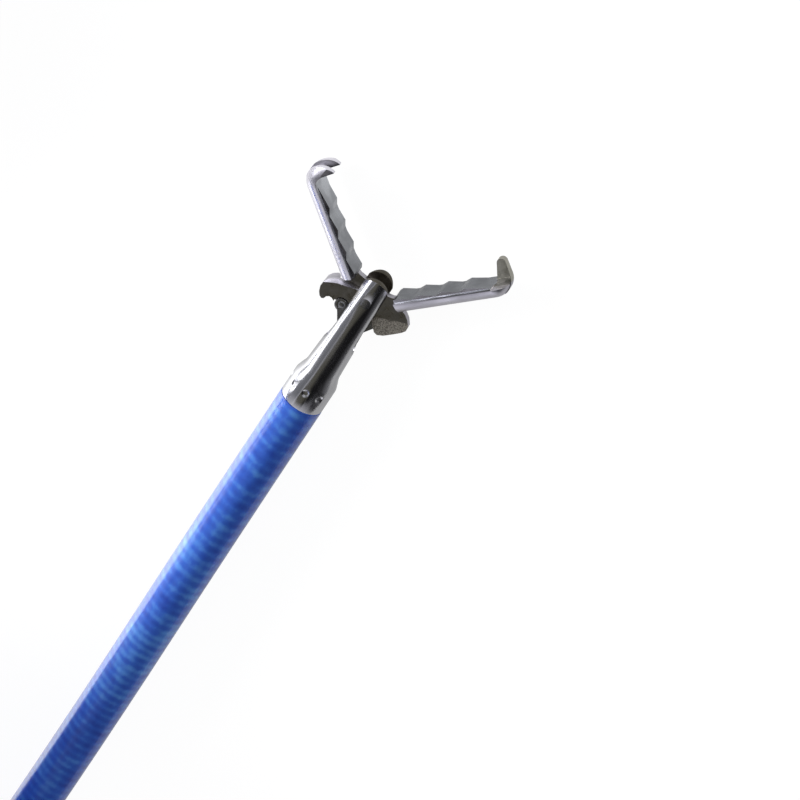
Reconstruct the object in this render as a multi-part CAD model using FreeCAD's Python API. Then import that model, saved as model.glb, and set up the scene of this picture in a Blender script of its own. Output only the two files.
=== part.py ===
import FreeCAD, Part
import math
import os
from FreeCAD import Vector

os.makedirs("parts", exist_ok=True)

# Foreign body forceps for an endoscope, lying on a flat surface at z = 0, in millimetres.
# +X is the direction in which the tip points and +Z is up. The handle lies along X too.
# The origin is on that surface, under the middle of the forceps without its sheath.
# Tip pieces are drawn with the jaw pivot at their own origin, jaws shut along +X.

# Layout
TIP_X = 62.0
HANDLE_SIDE = 50.0
HANDLE_REACH = 115.0
HANDLE_Z = 4.5
JAW_SPREAD = 5.43

# Sheath
SHEATH_R = 1.15
SHEATH_PITCH = 2.35
COIL_X = 14.0
COIL_MEAN_R = 14.2
COIL_RINGS = 4
COIL_LAYERS = 4
COIL_TURNS = 15
COIL_LIFT = 0.4
COIL_CORNER_R = 1.1

# Jaw motion, in degrees from the faces lying along the axis
OPEN_DOUBLE = 51.0
OPEN_SINGLE = 44.0
SHUT_HALF = 3.0
SLIDER_STROKE = 8.0

# Jaws
JAW_R = 0.90
SHOULDER_Y = 0.20
LAND_HALF = 0.68
BODY_START = 1.42
FIRST_CREST = 1.60
CRESTS = 4
CREST_PITCH = 1.20
CREST_RISE = 0.40
CREST_DEPTH = 0.15
HUB_R = 0.70
PLATE_T = 0.38
PLATE_GAP = 0.01
THIN_T = 0.19
PIN_R = 0.26
RUN_CLEAR = 0.015

# Hook with two prongs
PRONG_BEND_X = 6.42
PRONG_BEND_Y = -0.25
PRONG_ROUND_Y = -0.05
PRONG_TIP_Y = -0.86
PRONG_SLOT_HALF = 0.31
PRONG_SLOT_TOP = 0.42
PRONG_TIP_IN = 0.43
PRONG_TIP_OUT = 0.68

# Hook with one blunt tooth
TOOTH_BEND_X = 6.53
TOOTH_BEND_Y = -0.09
TOOTH_HALF = 0.26
TOOTH_TIP_HALF = 0.19
TOOTH_TIP_X = 7.22
TOOTH_TIP_Y = -0.83
TOOTH_TIP_R = 0.24
POCKET_DEPTH = 0.30
POCKET_CLEAR = 0.01

# Tail and links
RIVET_AT = 1.40
RIVET_R = 0.17
BOSS_R = 0.34
RECESS_CLEAR = 0.08
BROAD_STEP = 0.05
HEEL_DEPTH = 0.62
TAIL_CHAMFER = 0.16
LINK_LENGTH = 2.00
LINK_T = 0.16
LINK_HALF = 0.20
LINK_EYE_R = 0.40
LINK_CLEAR = 0.02
DRAW_PIN_R = 0.15
DRAW_PLAY = 0.12

# Housing
EAR_R = 0.80
EAR_REACH = 1.34
EAR_END_R = 0.78
SLOT_CLEAR = 0.02
SLOT_BACK = 2.75
BARREL_FRONT = 2.00
BARREL_BACK = 4.75
BARREL_BACK_R = 0.93
COLLAR_FRONT = 5.40
COLLAR_BACK = 6.85
COLLAR_R = 1.14
COLLAR_WALL = 0.14
BORE_R = 0.60
DIMPLES = 8
DIMPLE_AT = 5.80
DIMPLE_R = 0.16
DIMPLE_DEPTH = 0.07
DIMPLE_TURN = -3.0
PIN_PROUD = 0.02

# Draw head and wire
HEAD_R = 0.52
HEAD_LENGTH = 1.20
TANG_HALF = 0.19
TANG_WIDE = 0.32
TANG_LENGTH = 0.80
WIRE_R = 0.30
WIRE_LENGTH = 1.25
COIL_END_BORE = 0.55
COIL_END_CLEAR = 0.01
COIL_WIRE = 0.44

# Handle
RELIEF_LENGTH = 18.0
RELIEF_TIP_R = 1.90
RELIEF_BASE_R = 3.10
RELIEF_RIBS = 7
RELIEF_GROOVE = 0.35
NOSE_LENGTH = 12.0
NOSE_R = 4.5
NOSE_FLUTES = 14
NOSE_FLUTE_R = 0.55
NOSE_SKIN = 1.3
FLANGE_T = 2.0
FLANGE_R = 4.4
SHAFT_WIDE = 10.0
SHAFT_THICK = 6.8
SHAFT_ROUND = 2.2
RING_R = 17.0
RING_HOLE_R = 12.0
RING_THICK = 9.0
RING_ROUND = 2.0
NECK_FLARE = 9.0
SLOT_WIDE = 3.4
SLOT_FRONT = 17.0
SLOT_BEHIND = 32.0
BORE_WIRE_R = 0.9

# Slider
SLIDER_FRONT = 30.0
SLEEVE_LENGTH = 17.0
SLEEVE_WIDE = 17.0
SLEEVE_THICK = 8.6
SLEEVE_ROUND = 2.0
SLIDE_CLEAR = 0.15
FINGER_Y = 21.5
FINGER_R = 14.5
FINGER_HOLE_R = 10.5
FINGER_THICK = 7.6
FINGER_ROUND = 1.8
BLOCK_LENGTH = 7.0
BLOCK_HIGH = 6.0
BLOCK_CLEAR = 0.15
WIRE_TUBE_R = 0.6
WIRE_TUBE_LENGTH = 26.0
SCREW_R = 1.0
SCREW_HEAD_R = 2.0
SCREW_HEAD_T = 1.1
SCREW_DEPTH = 2.2

# Coil ties
TIE_T = 0.35
TIE_CLEAR = 0.05
TIE_DEGREES = 16.0
TIE_ANGLES = {"coil_tie_left": 130.0, "coil_tie_right": -20.0}

# The origin is halfway along the handle, and halfway between the outer finger ring and the jaws
HANDLE_Y = 0.5 * (JAW_SPREAD + HANDLE_SIDE - FINGER_Y - FINGER_R)
TIP_Y = HANDLE_Y - HANDLE_SIDE
NOSE_TIP_X = 0.5 * (RELIEF_LENGTH - RING_R - HANDLE_REACH)
RING_X = NOSE_TIP_X + HANDLE_REACH
SLIDER_X = NOSE_TIP_X + SLIDER_FRONT
SLOT_FRONT_X = NOSE_TIP_X + SLOT_FRONT
SLOT_END_X = RING_X - SLOT_BEHIND

# Sheath routes, chosen by hand: from the housing to the coil, and from the coil to the handle
COIL_OUTER_R = COIL_MEAN_R + 0.5 * (COIL_RINGS - 1) * SHEATH_PITCH
COIL_Y = TIP_Y + COIL_OUTER_R
COIL_Z = SHEATH_R + COIL_LIFT
COIL_TOP_Z = COIL_Z + (COIL_LAYERS - 1) * SHEATH_PITCH
ROUTE_TIP = [
    (TIP_X - COLLAR_BACK, TIP_Y, SHEATH_R),
    (45.5, TIP_Y, SHEATH_R),
    (34.5, TIP_Y - 0.12, SHEATH_R),
    (24.0, TIP_Y - 0.05, 1.30),
    (COIL_X, TIP_Y, COIL_Z),
]
ROUTE_HANDLE = [
    (COIL_X, TIP_Y, COIL_TOP_Z),
    (3.0, TIP_Y - 0.2, 8.2),
    (-10.0, TIP_Y - 0.8, 5.6),
    (-24.0, TIP_Y - 1.2, 2.4),
    (-39.0, TIP_Y - 1.0, 1.2),
    (-55.0, TIP_Y - 0.2, 1.2),
    (-71.0, TIP_Y + 2.2, 1.2),
    (-84.5, TIP_Y + 9.6, 1.2),
    (-93.6, HANDLE_Y - 29.6, 1.4),
    (-96.2, HANDLE_Y - 16.6, 2.5),
    (-92.6, HANDLE_Y - 5.4, 3.8),
    (-84.5, HANDLE_Y, HANDLE_Z),
    (NOSE_TIP_X - RELIEF_LENGTH, HANDLE_Y, HANDLE_Z),
]

X_AXIS = Vector(1, 0, 0)
Y_AXIS = Vector(0, 1, 0)
Z_AXIS = Vector(0, 0, 1)
ORIGIN = Vector(0, 0, 0)


def prism(points, low, high):
    """A flat outline in XY, from z = low to z = high."""
    corners = [Vector(x, y, low) for x, y in points]
    face = Part.Face(Part.makePolygon(corners + corners[:1]))
    return face.extrude(Z_AXIS * (high - low))


def disc(x, y, radius, low, high):
    return Part.makeCylinder(radius, high - low, Vector(x, y, low), Z_AXIS)


def box(x0, x1, y0, y1, z0, z1):
    return Part.makeBox(x1 - x0, y1 - y0, z1 - z0, Vector(x0, y0, z0))


def lathe(profile):
    """A profile of (x, radius) points turned about the X axis."""
    corners = [Vector(x, r, 0) for x, r in profile]
    face = Part.Face(Part.makePolygon(corners + corners[:1]))
    return face.revolve(ORIGIN, X_AXIS, 360)


def rod(x0, x1, radius):
    return Part.makeCylinder(radius, x1 - x0, Vector(x0, 0, 0), X_AXIS)


def turned(shape, degrees, x=0.0, y=0.0):
    copy = shape.copy()
    copy.rotate(Vector(x, y, 0), Z_AXIS, degrees)
    return copy


def moved(shape, x, y, z):
    copy = shape.copy()
    copy.translate(Vector(x, y, z))
    return copy


def one(shapes):
    """Several touching solids joined in one, without the seams between them."""
    return shapes[0].fuse(shapes[1:]).removeSplitter()


def flipped(shape):
    """The shape turned half round about the jaw axis, for the second jaw and its link."""
    copy = shape.copy()
    copy.rotate(ORIGIN, X_AXIS, 180)
    return copy


PLATE_LOW = -(PLATE_GAP + PLATE_T)
PLATE_HIGH = -PLATE_GAP
THIN_LOW = -(PLATE_GAP + THIN_T)
SLOT_HALF = PLATE_GAP + PLATE_T + SLOT_CLEAR


# Jaws

def half_round(x, low):
    """The jaw's cross-section in the plane at x: the part of a disc with y above low."""
    half = math.sqrt(JAW_R ** 2 - low ** 2)
    left, top, right = Vector(x, low, -half), Vector(x, JAW_R, 0), Vector(x, low, half)
    arc = Part.Arc(left, top, right).toShape()
    chord = Part.LineSegment(right, left).toShape()
    return Part.Face(Part.Wire([arc, chord]))


def toothed_outline(hook_x):
    """Side view of the gripping length: saw teeth, steep towards the pivot, and a last plain ramp."""
    points = [(BODY_START, JAW_R + 0.1), (BODY_START, CREST_DEPTH * 0.5)]
    for i in range(CRESTS):
        crest = FIRST_CREST + i * CREST_PITCH
        if i > 0:
            points.append((crest - CREST_RISE, CREST_DEPTH))
        points.append((crest, 0.0))
    points += [(hook_x, SHOULDER_Y), (hook_x, JAW_R + 0.1)]
    return points


def gripping_length(hook_x):
    """Half-round back with a narrower toothed land standing on its flat side."""
    back = half_round(BODY_START, SHOULDER_Y).extrude(X_AXIS * (hook_x - BODY_START))
    land = box(BODY_START, hook_x, 0, SHOULDER_Y, -LAND_HALF, LAND_HALF)
    outline = prism(toothed_outline(hook_x), -JAW_R, JAW_R)
    return one([back, land]).common(outline)


def bend(x, y, low):
    """The half-round back carried a quarter turn round (x, y)."""
    return half_round(x, low).revolve(Vector(x, y, 0), Z_AXIS, -90)


def prong_hook():
    """Hook whose end is split in two pointed prongs."""
    drop = PRONG_BEND_Y - PRONG_TIP_Y
    inner_x = PRONG_BEND_X + SHOULDER_Y - PRONG_BEND_Y
    outer_x = PRONG_BEND_X + JAW_R - PRONG_BEND_Y
    end = half_round(PRONG_BEND_X, SHOULDER_Y)
    end.rotate(Vector(PRONG_BEND_X, PRONG_BEND_Y, 0), Z_AXIS, -90)
    straight = end.extrude(Vector(0, -drop, 0))
    claw = disc(PRONG_BEND_X, PRONG_ROUND_Y, JAW_R - PRONG_ROUND_Y, -JAW_R, JAW_R)
    hook = one([bend(PRONG_BEND_X, PRONG_BEND_Y, SHOULDER_Y), straight]).common(claw)
    slot = box(inner_x - 0.25, outer_x + 0.1, PRONG_TIP_Y - 0.1, PRONG_SLOT_TOP,
               -PRONG_SLOT_HALF, PRONG_SLOT_HALF)
    hook = hook.cut(slot)
    for side in (1, -1):
        inside = [(PRONG_TIP_Y - 0.01, 0), (PRONG_BEND_Y, 0), (PRONG_BEND_Y, PRONG_SLOT_HALF),
                  (PRONG_TIP_Y - 0.01, PRONG_TIP_IN)]
        outside = [(PRONG_TIP_Y - 0.01, PRONG_TIP_OUT), (PRONG_BEND_Y, JAW_R - 0.05),
                   (PRONG_BEND_Y, JAW_R + 0.2), (PRONG_TIP_Y - 0.01, JAW_R + 0.2)]
        for shape in (inside, outside):
            corners = [Vector(inner_x - 0.2, y, side * z) for y, z in shape]
            face = Part.Face(Part.makePolygon(corners + corners[:1]))
            hook = hook.cut(face.extrude(X_AXIS * (outer_x - inner_x + 0.4)))
    return hook


def tooth_hook():
    """Hook that ends in one narrow, blunt tooth, with a pocket each side for the other jaw's prongs."""
    inner_x = TOOTH_BEND_X + SHOULDER_Y - TOOTH_BEND_Y
    outer_x = TOOTH_BEND_X + JAW_R - TOOTH_BEND_Y
    curve = bend(TOOTH_BEND_X, TOOTH_BEND_Y, SHOULDER_Y)
    for side in (1, -1):
        near, far = sorted((side * (TOOTH_HALF + POCKET_CLEAR), side * (JAW_R + 0.1)))
        curve = curve.cut(box(TOOTH_BEND_X, outer_x + 0.1, TOOTH_BEND_Y - 0.1, POCKET_DEPTH, near, far))
    tip_in, tip_out = TOOTH_TIP_X - TOOTH_TIP_R, TOOTH_TIP_X + TOOTH_TIP_R
    corners = [Vector(inner_x, SHOULDER_Y, 0), Vector(inner_x, TOOTH_BEND_Y, 0),
               Vector(tip_in, TOOTH_TIP_Y, 0)]
    edges = [Part.LineSegment(a, b).toShape() for a, b in zip(corners, corners[1:])]
    edges.append(Part.Arc(Vector(tip_in, TOOTH_TIP_Y, 0),
                          Vector(TOOTH_TIP_X, TOOTH_TIP_Y - TOOTH_TIP_R, 0),
                          Vector(tip_out, TOOTH_TIP_Y, 0)).toShape())
    last = [Vector(tip_out, TOOTH_TIP_Y, 0), Vector(outer_x, TOOTH_BEND_Y, 0),
            Vector(TOOTH_BEND_X + 0.55, SHOULDER_Y, 0), corners[0]]
    edges += [Part.LineSegment(a, b).toShape() for a, b in zip(last, last[1:])]
    side_view = Part.Face(Part.Wire(edges))
    side_view.translate(Vector(0, 0, -TOOTH_HALF))
    blade = side_view.extrude(Z_AXIS * (2 * TOOTH_HALF))
    tip_y = TOOTH_TIP_Y - TOOTH_TIP_R
    front = [(SHOULDER_Y, -TOOTH_HALF), (tip_y, -TOOTH_TIP_HALF), (tip_y, TOOTH_TIP_HALF),
             (SHOULDER_Y, TOOTH_HALF)]
    corners = [Vector(inner_x - 0.3, y, z) for y, z in front]
    taper = Part.Face(Part.makePolygon(corners + corners[:1])).extrude(X_AXIS * (outer_x - inner_x + 0.6))
    return one([curve, blade.common(taper)])


def jaw_plate(tail):
    """Hub, neck and tail: one flat plate below the parting plane, thinned where the link lies."""
    neck = [(0.0, HUB_R), (BODY_START, JAW_R - 0.03), (BODY_START + 0.40, JAW_R - 0.11),
            (BODY_START + 0.40, SHOULDER_Y), (BODY_START - 0.12, 0.05), (0.55, -0.43), (0.0, 0.0)]
    web = [(-0.42, 0.50), (-RIVET_AT, BOSS_R - 0.02), (-RIVET_AT - BOSS_R + 0.02, 0.0),
           (-RIVET_AT, -BOSS_R), (0.0, 0.0)]
    parts = [prism(shape, PLATE_LOW, PLATE_HIGH) for shape in (neck, tail, web)]
    parts.append(disc(0, 0, HUB_R, PLATE_LOW, PLATE_HIGH))
    parts.append(disc(-RIVET_AT, 0, BOSS_R, PLATE_LOW, PLATE_HIGH))
    plate = one(parts)
    plate = plate.cut(disc(0, 0, PIN_R + RUN_CLEAR, PLATE_LOW, PLATE_HIGH))
    return plate.cut(disc(-RIVET_AT, 0, RIVET_R + RUN_CLEAR, PLATE_LOW, PLATE_HIGH))


def double_plate():
    """Plate with a broad tail, stepped down on its inner side and thinned for the link's swing."""
    tail = [(-0.30, -0.63), (-1.05, -1.36), (-1.30, -1.45), (-1.60, -1.45), (-1.95, -1.35), (-2.14, -1.14),
            (-2.17, -0.90), (-2.14, -0.45), (-2.09, 0.05), (-1.98, 0.36), (-1.80, 0.46), (-RIVET_AT, 0.40),
            (0.0, 0.0)]
    step = [(-1.07, 0.0), (-1.63, -1.14), (-1.9, -1.7), (-2.6, -1.7), (-2.6, 0.8), (-1.0, 0.8)]
    swing = [(-RIVET_AT, -BOSS_R - RECESS_CLEAR), (-2.6, -BOSS_R - RECESS_CLEAR), (-2.6, 0.8),
             (-RIVET_AT + 0.26, 0.8), (-RIVET_AT + 0.26, 0.0)]
    plate = jaw_plate(tail).cut(prism(step, PLATE_HIGH - BROAD_STEP, PLATE_HIGH + 0.1))
    plate = plate.cut(prism(swing, PLATE_LOW - 0.1, THIN_LOW))
    return plate.cut(disc(-RIVET_AT, 0, BOSS_R + RECESS_CLEAR, PLATE_LOW - 0.1, THIN_LOW))


def single_plate():
    """Plate whose tail ends in a hook round a notch for the link, with a heel on its inner side."""
    tail = [(-0.30, -0.63), (-1.20, -1.30), (-1.45, -1.38), (-1.70, -1.40), (-1.95, -1.34), (-2.16, -1.17),
            (-2.30, -0.90), (-2.34, -0.68), (-2.30, -0.53), (-2.18, -0.49), (-2.02, -0.57), (-1.86, -0.55),
            (-1.76, -0.45), (-1.72, -0.30), (-RIVET_AT, 0.0), (0.0, 0.0)]
    heel = prism([(-1.32, -1.33), (-1.45, -1.38), (-1.70, -1.40), (-1.95, -1.34), (-2.16, -1.17),
                  (-2.28, -0.95), (-2.1, -0.95), (-1.8, -1.02), (-1.35, -1.08)],
                 PLATE_LOW + TAIL_CHAMFER, HEEL_DEPTH)
    end_edges = [edge for edge in heel.Edges if edge.CenterOfMass.z > HEEL_DEPTH - 0.01]
    plate = jaw_plate(tail)
    front_edges = [edge for edge in plate.Edges if edge.CenterOfMass.z < PLATE_LOW + 0.01
                   and edge.CenterOfMass.y < -0.9 and -1.72 < edge.CenterOfMass.x < -0.6]
    plate = one([plate.makeChamfer(TAIL_CHAMFER, front_edges), heel.makeFillet(0.08, end_edges)])
    return plate.cut(disc(-RIVET_AT, 0, BOSS_R + RECESS_CLEAR, PLATE_LOW - 0.1, THIN_LOW))


def jaw(hook, hook_x, plate):
    return one([gripping_length(hook_x), hook, plate])


# Links, draw head and what joins them

def rivet_place(open_degrees, side):
    """Where a jaw's link rivet lies with the jaws open; side is -1 for a tail below the axis."""
    angle = math.radians(180 - open_degrees)
    return RIVET_AT * math.cos(angle), side * RIVET_AT * math.sin(angle)


def draw_x(open_degrees):
    """The draw pin's place on the axis that a link of full length asks for."""
    x, y = rivet_place(open_degrees, 1)
    return x - math.sqrt(LINK_LENGTH ** 2 - y ** 2)


DRAW_OPEN_X = 0.5 * (draw_x(OPEN_DOUBLE) + draw_x(OPEN_SINGLE))
LINK_LOW = PLATE_LOW + 0.01
LINK_HIGH = LINK_LOW + LINK_T


def link(open_degrees, side):
    """A flat link from the rivet to the draw pin, whose eye has play on that pin."""
    bar = one([
        box(-LINK_LENGTH, 0, -LINK_HALF, LINK_HALF, LINK_LOW, LINK_HIGH),
        disc(0, 0, BOSS_R, LINK_LOW, LINK_HIGH),
        disc(-LINK_LENGTH, 0, LINK_EYE_R, LINK_LOW, LINK_HIGH),
    ])
    bar = bar.cut(disc(0, 0, RIVET_R, LINK_LOW, LINK_HIGH))
    bar = bar.cut(disc(-LINK_LENGTH, 0, DRAW_PIN_R + DRAW_PLAY, LINK_LOW, LINK_HIGH))
    x, y = rivet_place(open_degrees, side)
    lean = math.degrees(math.atan2(y, x - DRAW_OPEN_X))
    return moved(turned(bar, lean), x, y, 0)


def rivet(open_degrees, side):
    x, y = rivet_place(open_degrees, side)
    return disc(x, y, RIVET_R, LINK_LOW, PLATE_HIGH)


def draw_head():
    x = DRAW_OPEN_X
    tang = one([
        box(x - TANG_LENGTH, x, -TANG_WIDE, TANG_WIDE, -TANG_HALF, TANG_HALF),
        disc(x, 0, TANG_WIDE, -TANG_HALF, TANG_HALF),
    ])
    back = x - TANG_LENGTH - HEAD_LENGTH
    body = rod(back, x - TANG_LENGTH, HEAD_R).cut(rod(back, back + WIRE_LENGTH / 2, WIRE_R))
    return one([tang, body]).cut(disc(x, 0, DRAW_PIN_R, -HEAD_R, HEAD_R))


def draw_pin():
    return disc(DRAW_OPEN_X, 0, DRAW_PIN_R, LINK_LOW, -LINK_LOW)


def pull_wire():
    """The wire's last stretch, soldered half its length into the draw head."""
    back = DRAW_OPEN_X - TANG_LENGTH - HEAD_LENGTH
    return rod(back + WIRE_LENGTH / 2 - WIRE_LENGTH, back + WIRE_LENGTH / 2, WIRE_R)


# Housing

def clevis_housing():
    """Collar, crimped shoulder, tapered barrel and two ears, turned and then slotted."""
    outside = lathe([
        (-COLLAR_BACK, 0), (-COLLAR_BACK, COLLAR_R - 0.04), (-COLLAR_BACK + 0.05, COLLAR_R),
        (-COLLAR_FRONT, COLLAR_R), (-0.5 * (COLLAR_FRONT + BARREL_BACK), 0.5 * (COLLAR_R + BARREL_BACK_R)),
        (-BARREL_BACK, BARREL_BACK_R), (-BARREL_FRONT, EAR_R), (EAR_REACH + 0.1, EAR_R), (EAR_REACH + 0.1, 0),
    ])
    end_x = EAR_REACH - EAR_END_R
    ends = one([
        box(-COLLAR_BACK - 1, end_x, -2 * COLLAR_R, 2 * COLLAR_R, -2 * COLLAR_R, 2 * COLLAR_R),
        disc(end_x, 0, EAR_END_R, -2 * COLLAR_R, 2 * COLLAR_R),
    ])
    ends = one([ends, box(-COLLAR_BACK - 1, 0, -2 * COLLAR_R, 2 * COLLAR_R, -1, 1)])
    sides = box(0, EAR_REACH + 1, EAR_END_R, 2, -2, 2), box(0, EAR_REACH + 1, -2, -EAR_END_R, -2, 2)
    shell = outside.common(ends.cut(sides[0]).cut(sides[1]))
    slot = box(-SLOT_BACK, EAR_REACH + 1, -2, 2, -SLOT_HALF, SLOT_HALF)
    shell = shell.cut(slot)
    shell = shell.cut(Part.makeCylinder(SLOT_HALF, 4, Vector(-SLOT_BACK, -2, 0), Y_AXIS))
    shell = shell.cut(rod(-COLLAR_BACK, -SLOT_BACK, BORE_R))
    shell = shell.cut(rod(-COLLAR_BACK, -COLLAR_FRONT, COLLAR_R - COLLAR_WALL))
    shell = shell.cut(disc(0, 0, PIN_R, -EAR_R, EAR_R))
    ball_at = COLLAR_R - DIMPLE_DEPTH + DIMPLE_R
    for i in range(DIMPLES):
        ball = Part.makeSphere(DIMPLE_R, Vector(-DIMPLE_AT, 0, ball_at))
        ball.rotate(ORIGIN, X_AXIS, DIMPLE_TURN + 360.0 * i / DIMPLES)
        shell = shell.cut(ball)
    return shell


def pivot_pin():
    """Pin through both ears, its ends peened to the curve of the ears and just proud of them."""
    return disc(0, 0, PIN_R, -JAW_R - 1, JAW_R + 1).common(rod(-1, 1, EAR_R + PIN_PROUD))


def coil_end():
    """The sheath's bare steel coil, stripped of its coating inside the collar."""
    radius = COLLAR_R - COLLAR_WALL - COIL_END_CLEAR
    end = rod(-COLLAR_BACK, -COLLAR_FRONT - COIL_END_CLEAR, radius)
    length = COLLAR_BACK - COLLAR_FRONT
    for i in range(1, int(length / COIL_WIRE)):
        x = -COLLAR_BACK + i * COIL_WIRE
        groove = rod(x - 0.05, x + 0.05, COLLAR_R).cut(rod(x - 0.05, x + 0.05, radius - 0.08))
        end = end.cut(groove)
    return end.cut(rod(-COLLAR_BACK, -COLLAR_FRONT, COIL_END_BORE))


# Sheath

def cord(points, name):
    """A round tube along straight runs joined by tangent arcs as large as the runs allow."""
    route = [Vector(*point) for point in points]
    pieces, radii, length = [], [], 0.0
    start = route[0]
    for before, corner, after in zip(route, route[1:], route[2:]):
        into, out = corner - before, after - corner
        reach = 0.45 * min(into.Length, out.Length)
        turn = into.getAngle(out)
        radius = reach / math.tan(turn / 2)
        into.normalize()
        out.normalize()
        first, last = corner - into * reach, corner + out * reach
        pieces.append(Part.makeCylinder(SHEATH_R, (first - start).Length, start, into))
        centre_way = (out - into).normalize()
        centre = corner + centre_way * (radius / math.cos(turn / 2))
        face = Part.Face(Part.Wire(Part.makeCircle(SHEATH_R, first, into)))
        pieces.append(face.revolve(centre, into.cross(out).normalize(), math.degrees(turn)))
        length += (first - start).Length + radius * turn
        radii.append(round(radius, 1))
        start = last
    final = route[-1] - start
    pieces.append(Part.makeCylinder(SHEATH_R, final.Length, start, final))
    length += final.Length
    tube = pieces[0].fuse(pieces[1:])
    share = tube.Volume / (math.pi * SHEATH_R ** 2 * length)
    print(name, "length", round(length, 2), "arc radii", radii, "volume share", round(share, 5))
    return tube, length


def coil_section(grow):
    """Rounded outline of the wound bundle in the XZ plane, coil axis at x = 0, grown by grow."""
    half = 0.5 * (COIL_RINGS - 1) * SHEATH_PITCH + SHEATH_R
    low, high = COIL_Z - SHEATH_R - grow, COIL_TOP_Z + SHEATH_R + grow
    outline = Part.makeBox(2 * (half + grow), 1, high - low, Vector(COIL_MEAN_R - half - grow, 0, low))
    along = [edge for edge in outline.Edges if abs(edge.tangentAt(edge.FirstParameter).y) > 0.9]
    rounded = outline.makeFillet(COIL_CORNER_R + grow, along)
    return min(rounded.Faces, key=lambda face: face.CenterOfMass.y)


def sheath_coil():
    ring = coil_section(0).revolve(ORIGIN, Z_AXIS, 360)
    return moved(ring, COIL_X, COIL_Y, 0)


def coil_tie(angle):
    """A strap once round the bundle, closed on itself."""
    inner, outer = coil_section(TIE_CLEAR), coil_section(TIE_CLEAR + TIE_T)
    strap = outer.cut(inner).revolve(ORIGIN, Z_AXIS, TIE_DEGREES)
    return moved(turned(strap, angle - TIE_DEGREES / 2), COIL_X, COIL_Y, 0)


# Handle, drawn with its axis at y = 0, z = 0

def rounded_bar(x0, x1, wide, thick, radius):
    bar = box(x0, x1, -wide / 2, wide / 2, -thick / 2, thick / 2)
    along = [edge for edge in bar.Edges if abs(edge.tangentAt(edge.FirstParameter).x) > 0.9]
    return bar.makeFillet(radius, along)


def ring(x, y, radius, hole, thick, rounding):
    """A flat ring lying in XY with its four edges rounded."""
    outer = disc(x, y, radius, -thick / 2, thick / 2).cut(disc(x, y, hole, -thick / 2, thick / 2))
    circles = [edge for edge in outer.Edges if edge.Closed and edge.Curve.TypeId == "Part::GeomCircle"]
    return outer.makeFillet(rounding, circles)


NOSE_BACK_X = NOSE_TIP_X + NOSE_LENGTH
FLANGE_X = NOSE_BACK_X + FLANGE_T
SPIGOT_R = NOSE_R - NOSE_SKIN


def handle_body():
    """Moulded handle: threaded spigot, flange, slotted shaft and thumb ring."""
    spigot = rod(NOSE_TIP_X + NOSE_SKIN, NOSE_BACK_X, SPIGOT_R)
    flange = rod(NOSE_BACK_X, FLANGE_X, FLANGE_R)
    shaft = rounded_bar(FLANGE_X, RING_X - RING_HOLE_R - 1, SHAFT_WIDE, SHAFT_THICK, SHAFT_ROUND)
    neck_x = RING_X - RING_HOLE_R - 1
    flare = prism([(neck_x - NECK_FLARE - 6, SHAFT_WIDE / 2), (neck_x - 6, SHAFT_WIDE / 2 + 1.2),
                   (neck_x + 2.4, RING_HOLE_R - 1.0), (neck_x + 2.4, -RING_HOLE_R + 1.0),
                   (neck_x - 6, -SHAFT_WIDE / 2 - 1.2), (neck_x - NECK_FLARE - 6, -SHAFT_WIDE / 2)],
                  -SHAFT_THICK / 2, SHAFT_THICK / 2)
    flare = flare.cut(disc(RING_X, 0, RING_HOLE_R + 0.5, -RING_THICK, RING_THICK))
    edges = [edge for edge in flare.Edges
             if abs(edge.CenterOfMass.z) > SHAFT_THICK / 2 - 0.01 and abs(edge.CenterOfMass.y) > 0.5
             and abs(edge.CenterOfMass.y) < RING_HOLE_R - 3 and edge.Curve.TypeId == "Part::GeomLine"
             and edge.CenterOfMass.x < neck_x]
    flare = flare.makeFillet(1.0, edges)
    thumb = ring(RING_X, 0, RING_R, RING_HOLE_R, RING_THICK, RING_ROUND)
    body = one([spigot, flange, shaft, flare, thumb])
    half = SLOT_WIDE / 2
    slot = one([
        box(SLOT_FRONT_X + half, SLOT_END_X - half, -half, half, -SHAFT_THICK, SHAFT_THICK),
        disc(SLOT_FRONT_X + half, 0, half, -SHAFT_THICK, SHAFT_THICK),
        disc(SLOT_END_X - half, 0, half, -SHAFT_THICK, SHAFT_THICK),
    ])
    return body.cut(slot).cut(rod(NOSE_TIP_X, SLOT_FRONT_X + half, BORE_WIRE_R))


def nose_cap():
    """Fluted cap screwed over the spigot; its end wall clamps the strain relief."""
    cap = lathe([(NOSE_TIP_X, 0), (NOSE_TIP_X, NOSE_R - 0.9), (NOSE_TIP_X + 0.9, NOSE_R),
                 (NOSE_BACK_X - 0.4, NOSE_R), (NOSE_BACK_X, NOSE_R - 0.4), (NOSE_BACK_X, 0)])
    cap = cap.cut(rod(NOSE_TIP_X + NOSE_SKIN, NOSE_BACK_X, SPIGOT_R + 0.05))
    cap = cap.cut(rod(NOSE_TIP_X, NOSE_TIP_X + NOSE_SKIN, SHEATH_R))
    for i in range(NOSE_FLUTES):
        angle = 2 * math.pi * (i + 0.5) / NOSE_FLUTES
        at = Vector(NOSE_TIP_X + 2.0, (NOSE_R + 0.2) * math.cos(angle), (NOSE_R + 0.2) * math.sin(angle))
        cap = cap.cut(Part.makeCylinder(NOSE_FLUTE_R, NOSE_LENGTH, at, X_AXIS))
    return cap


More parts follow.
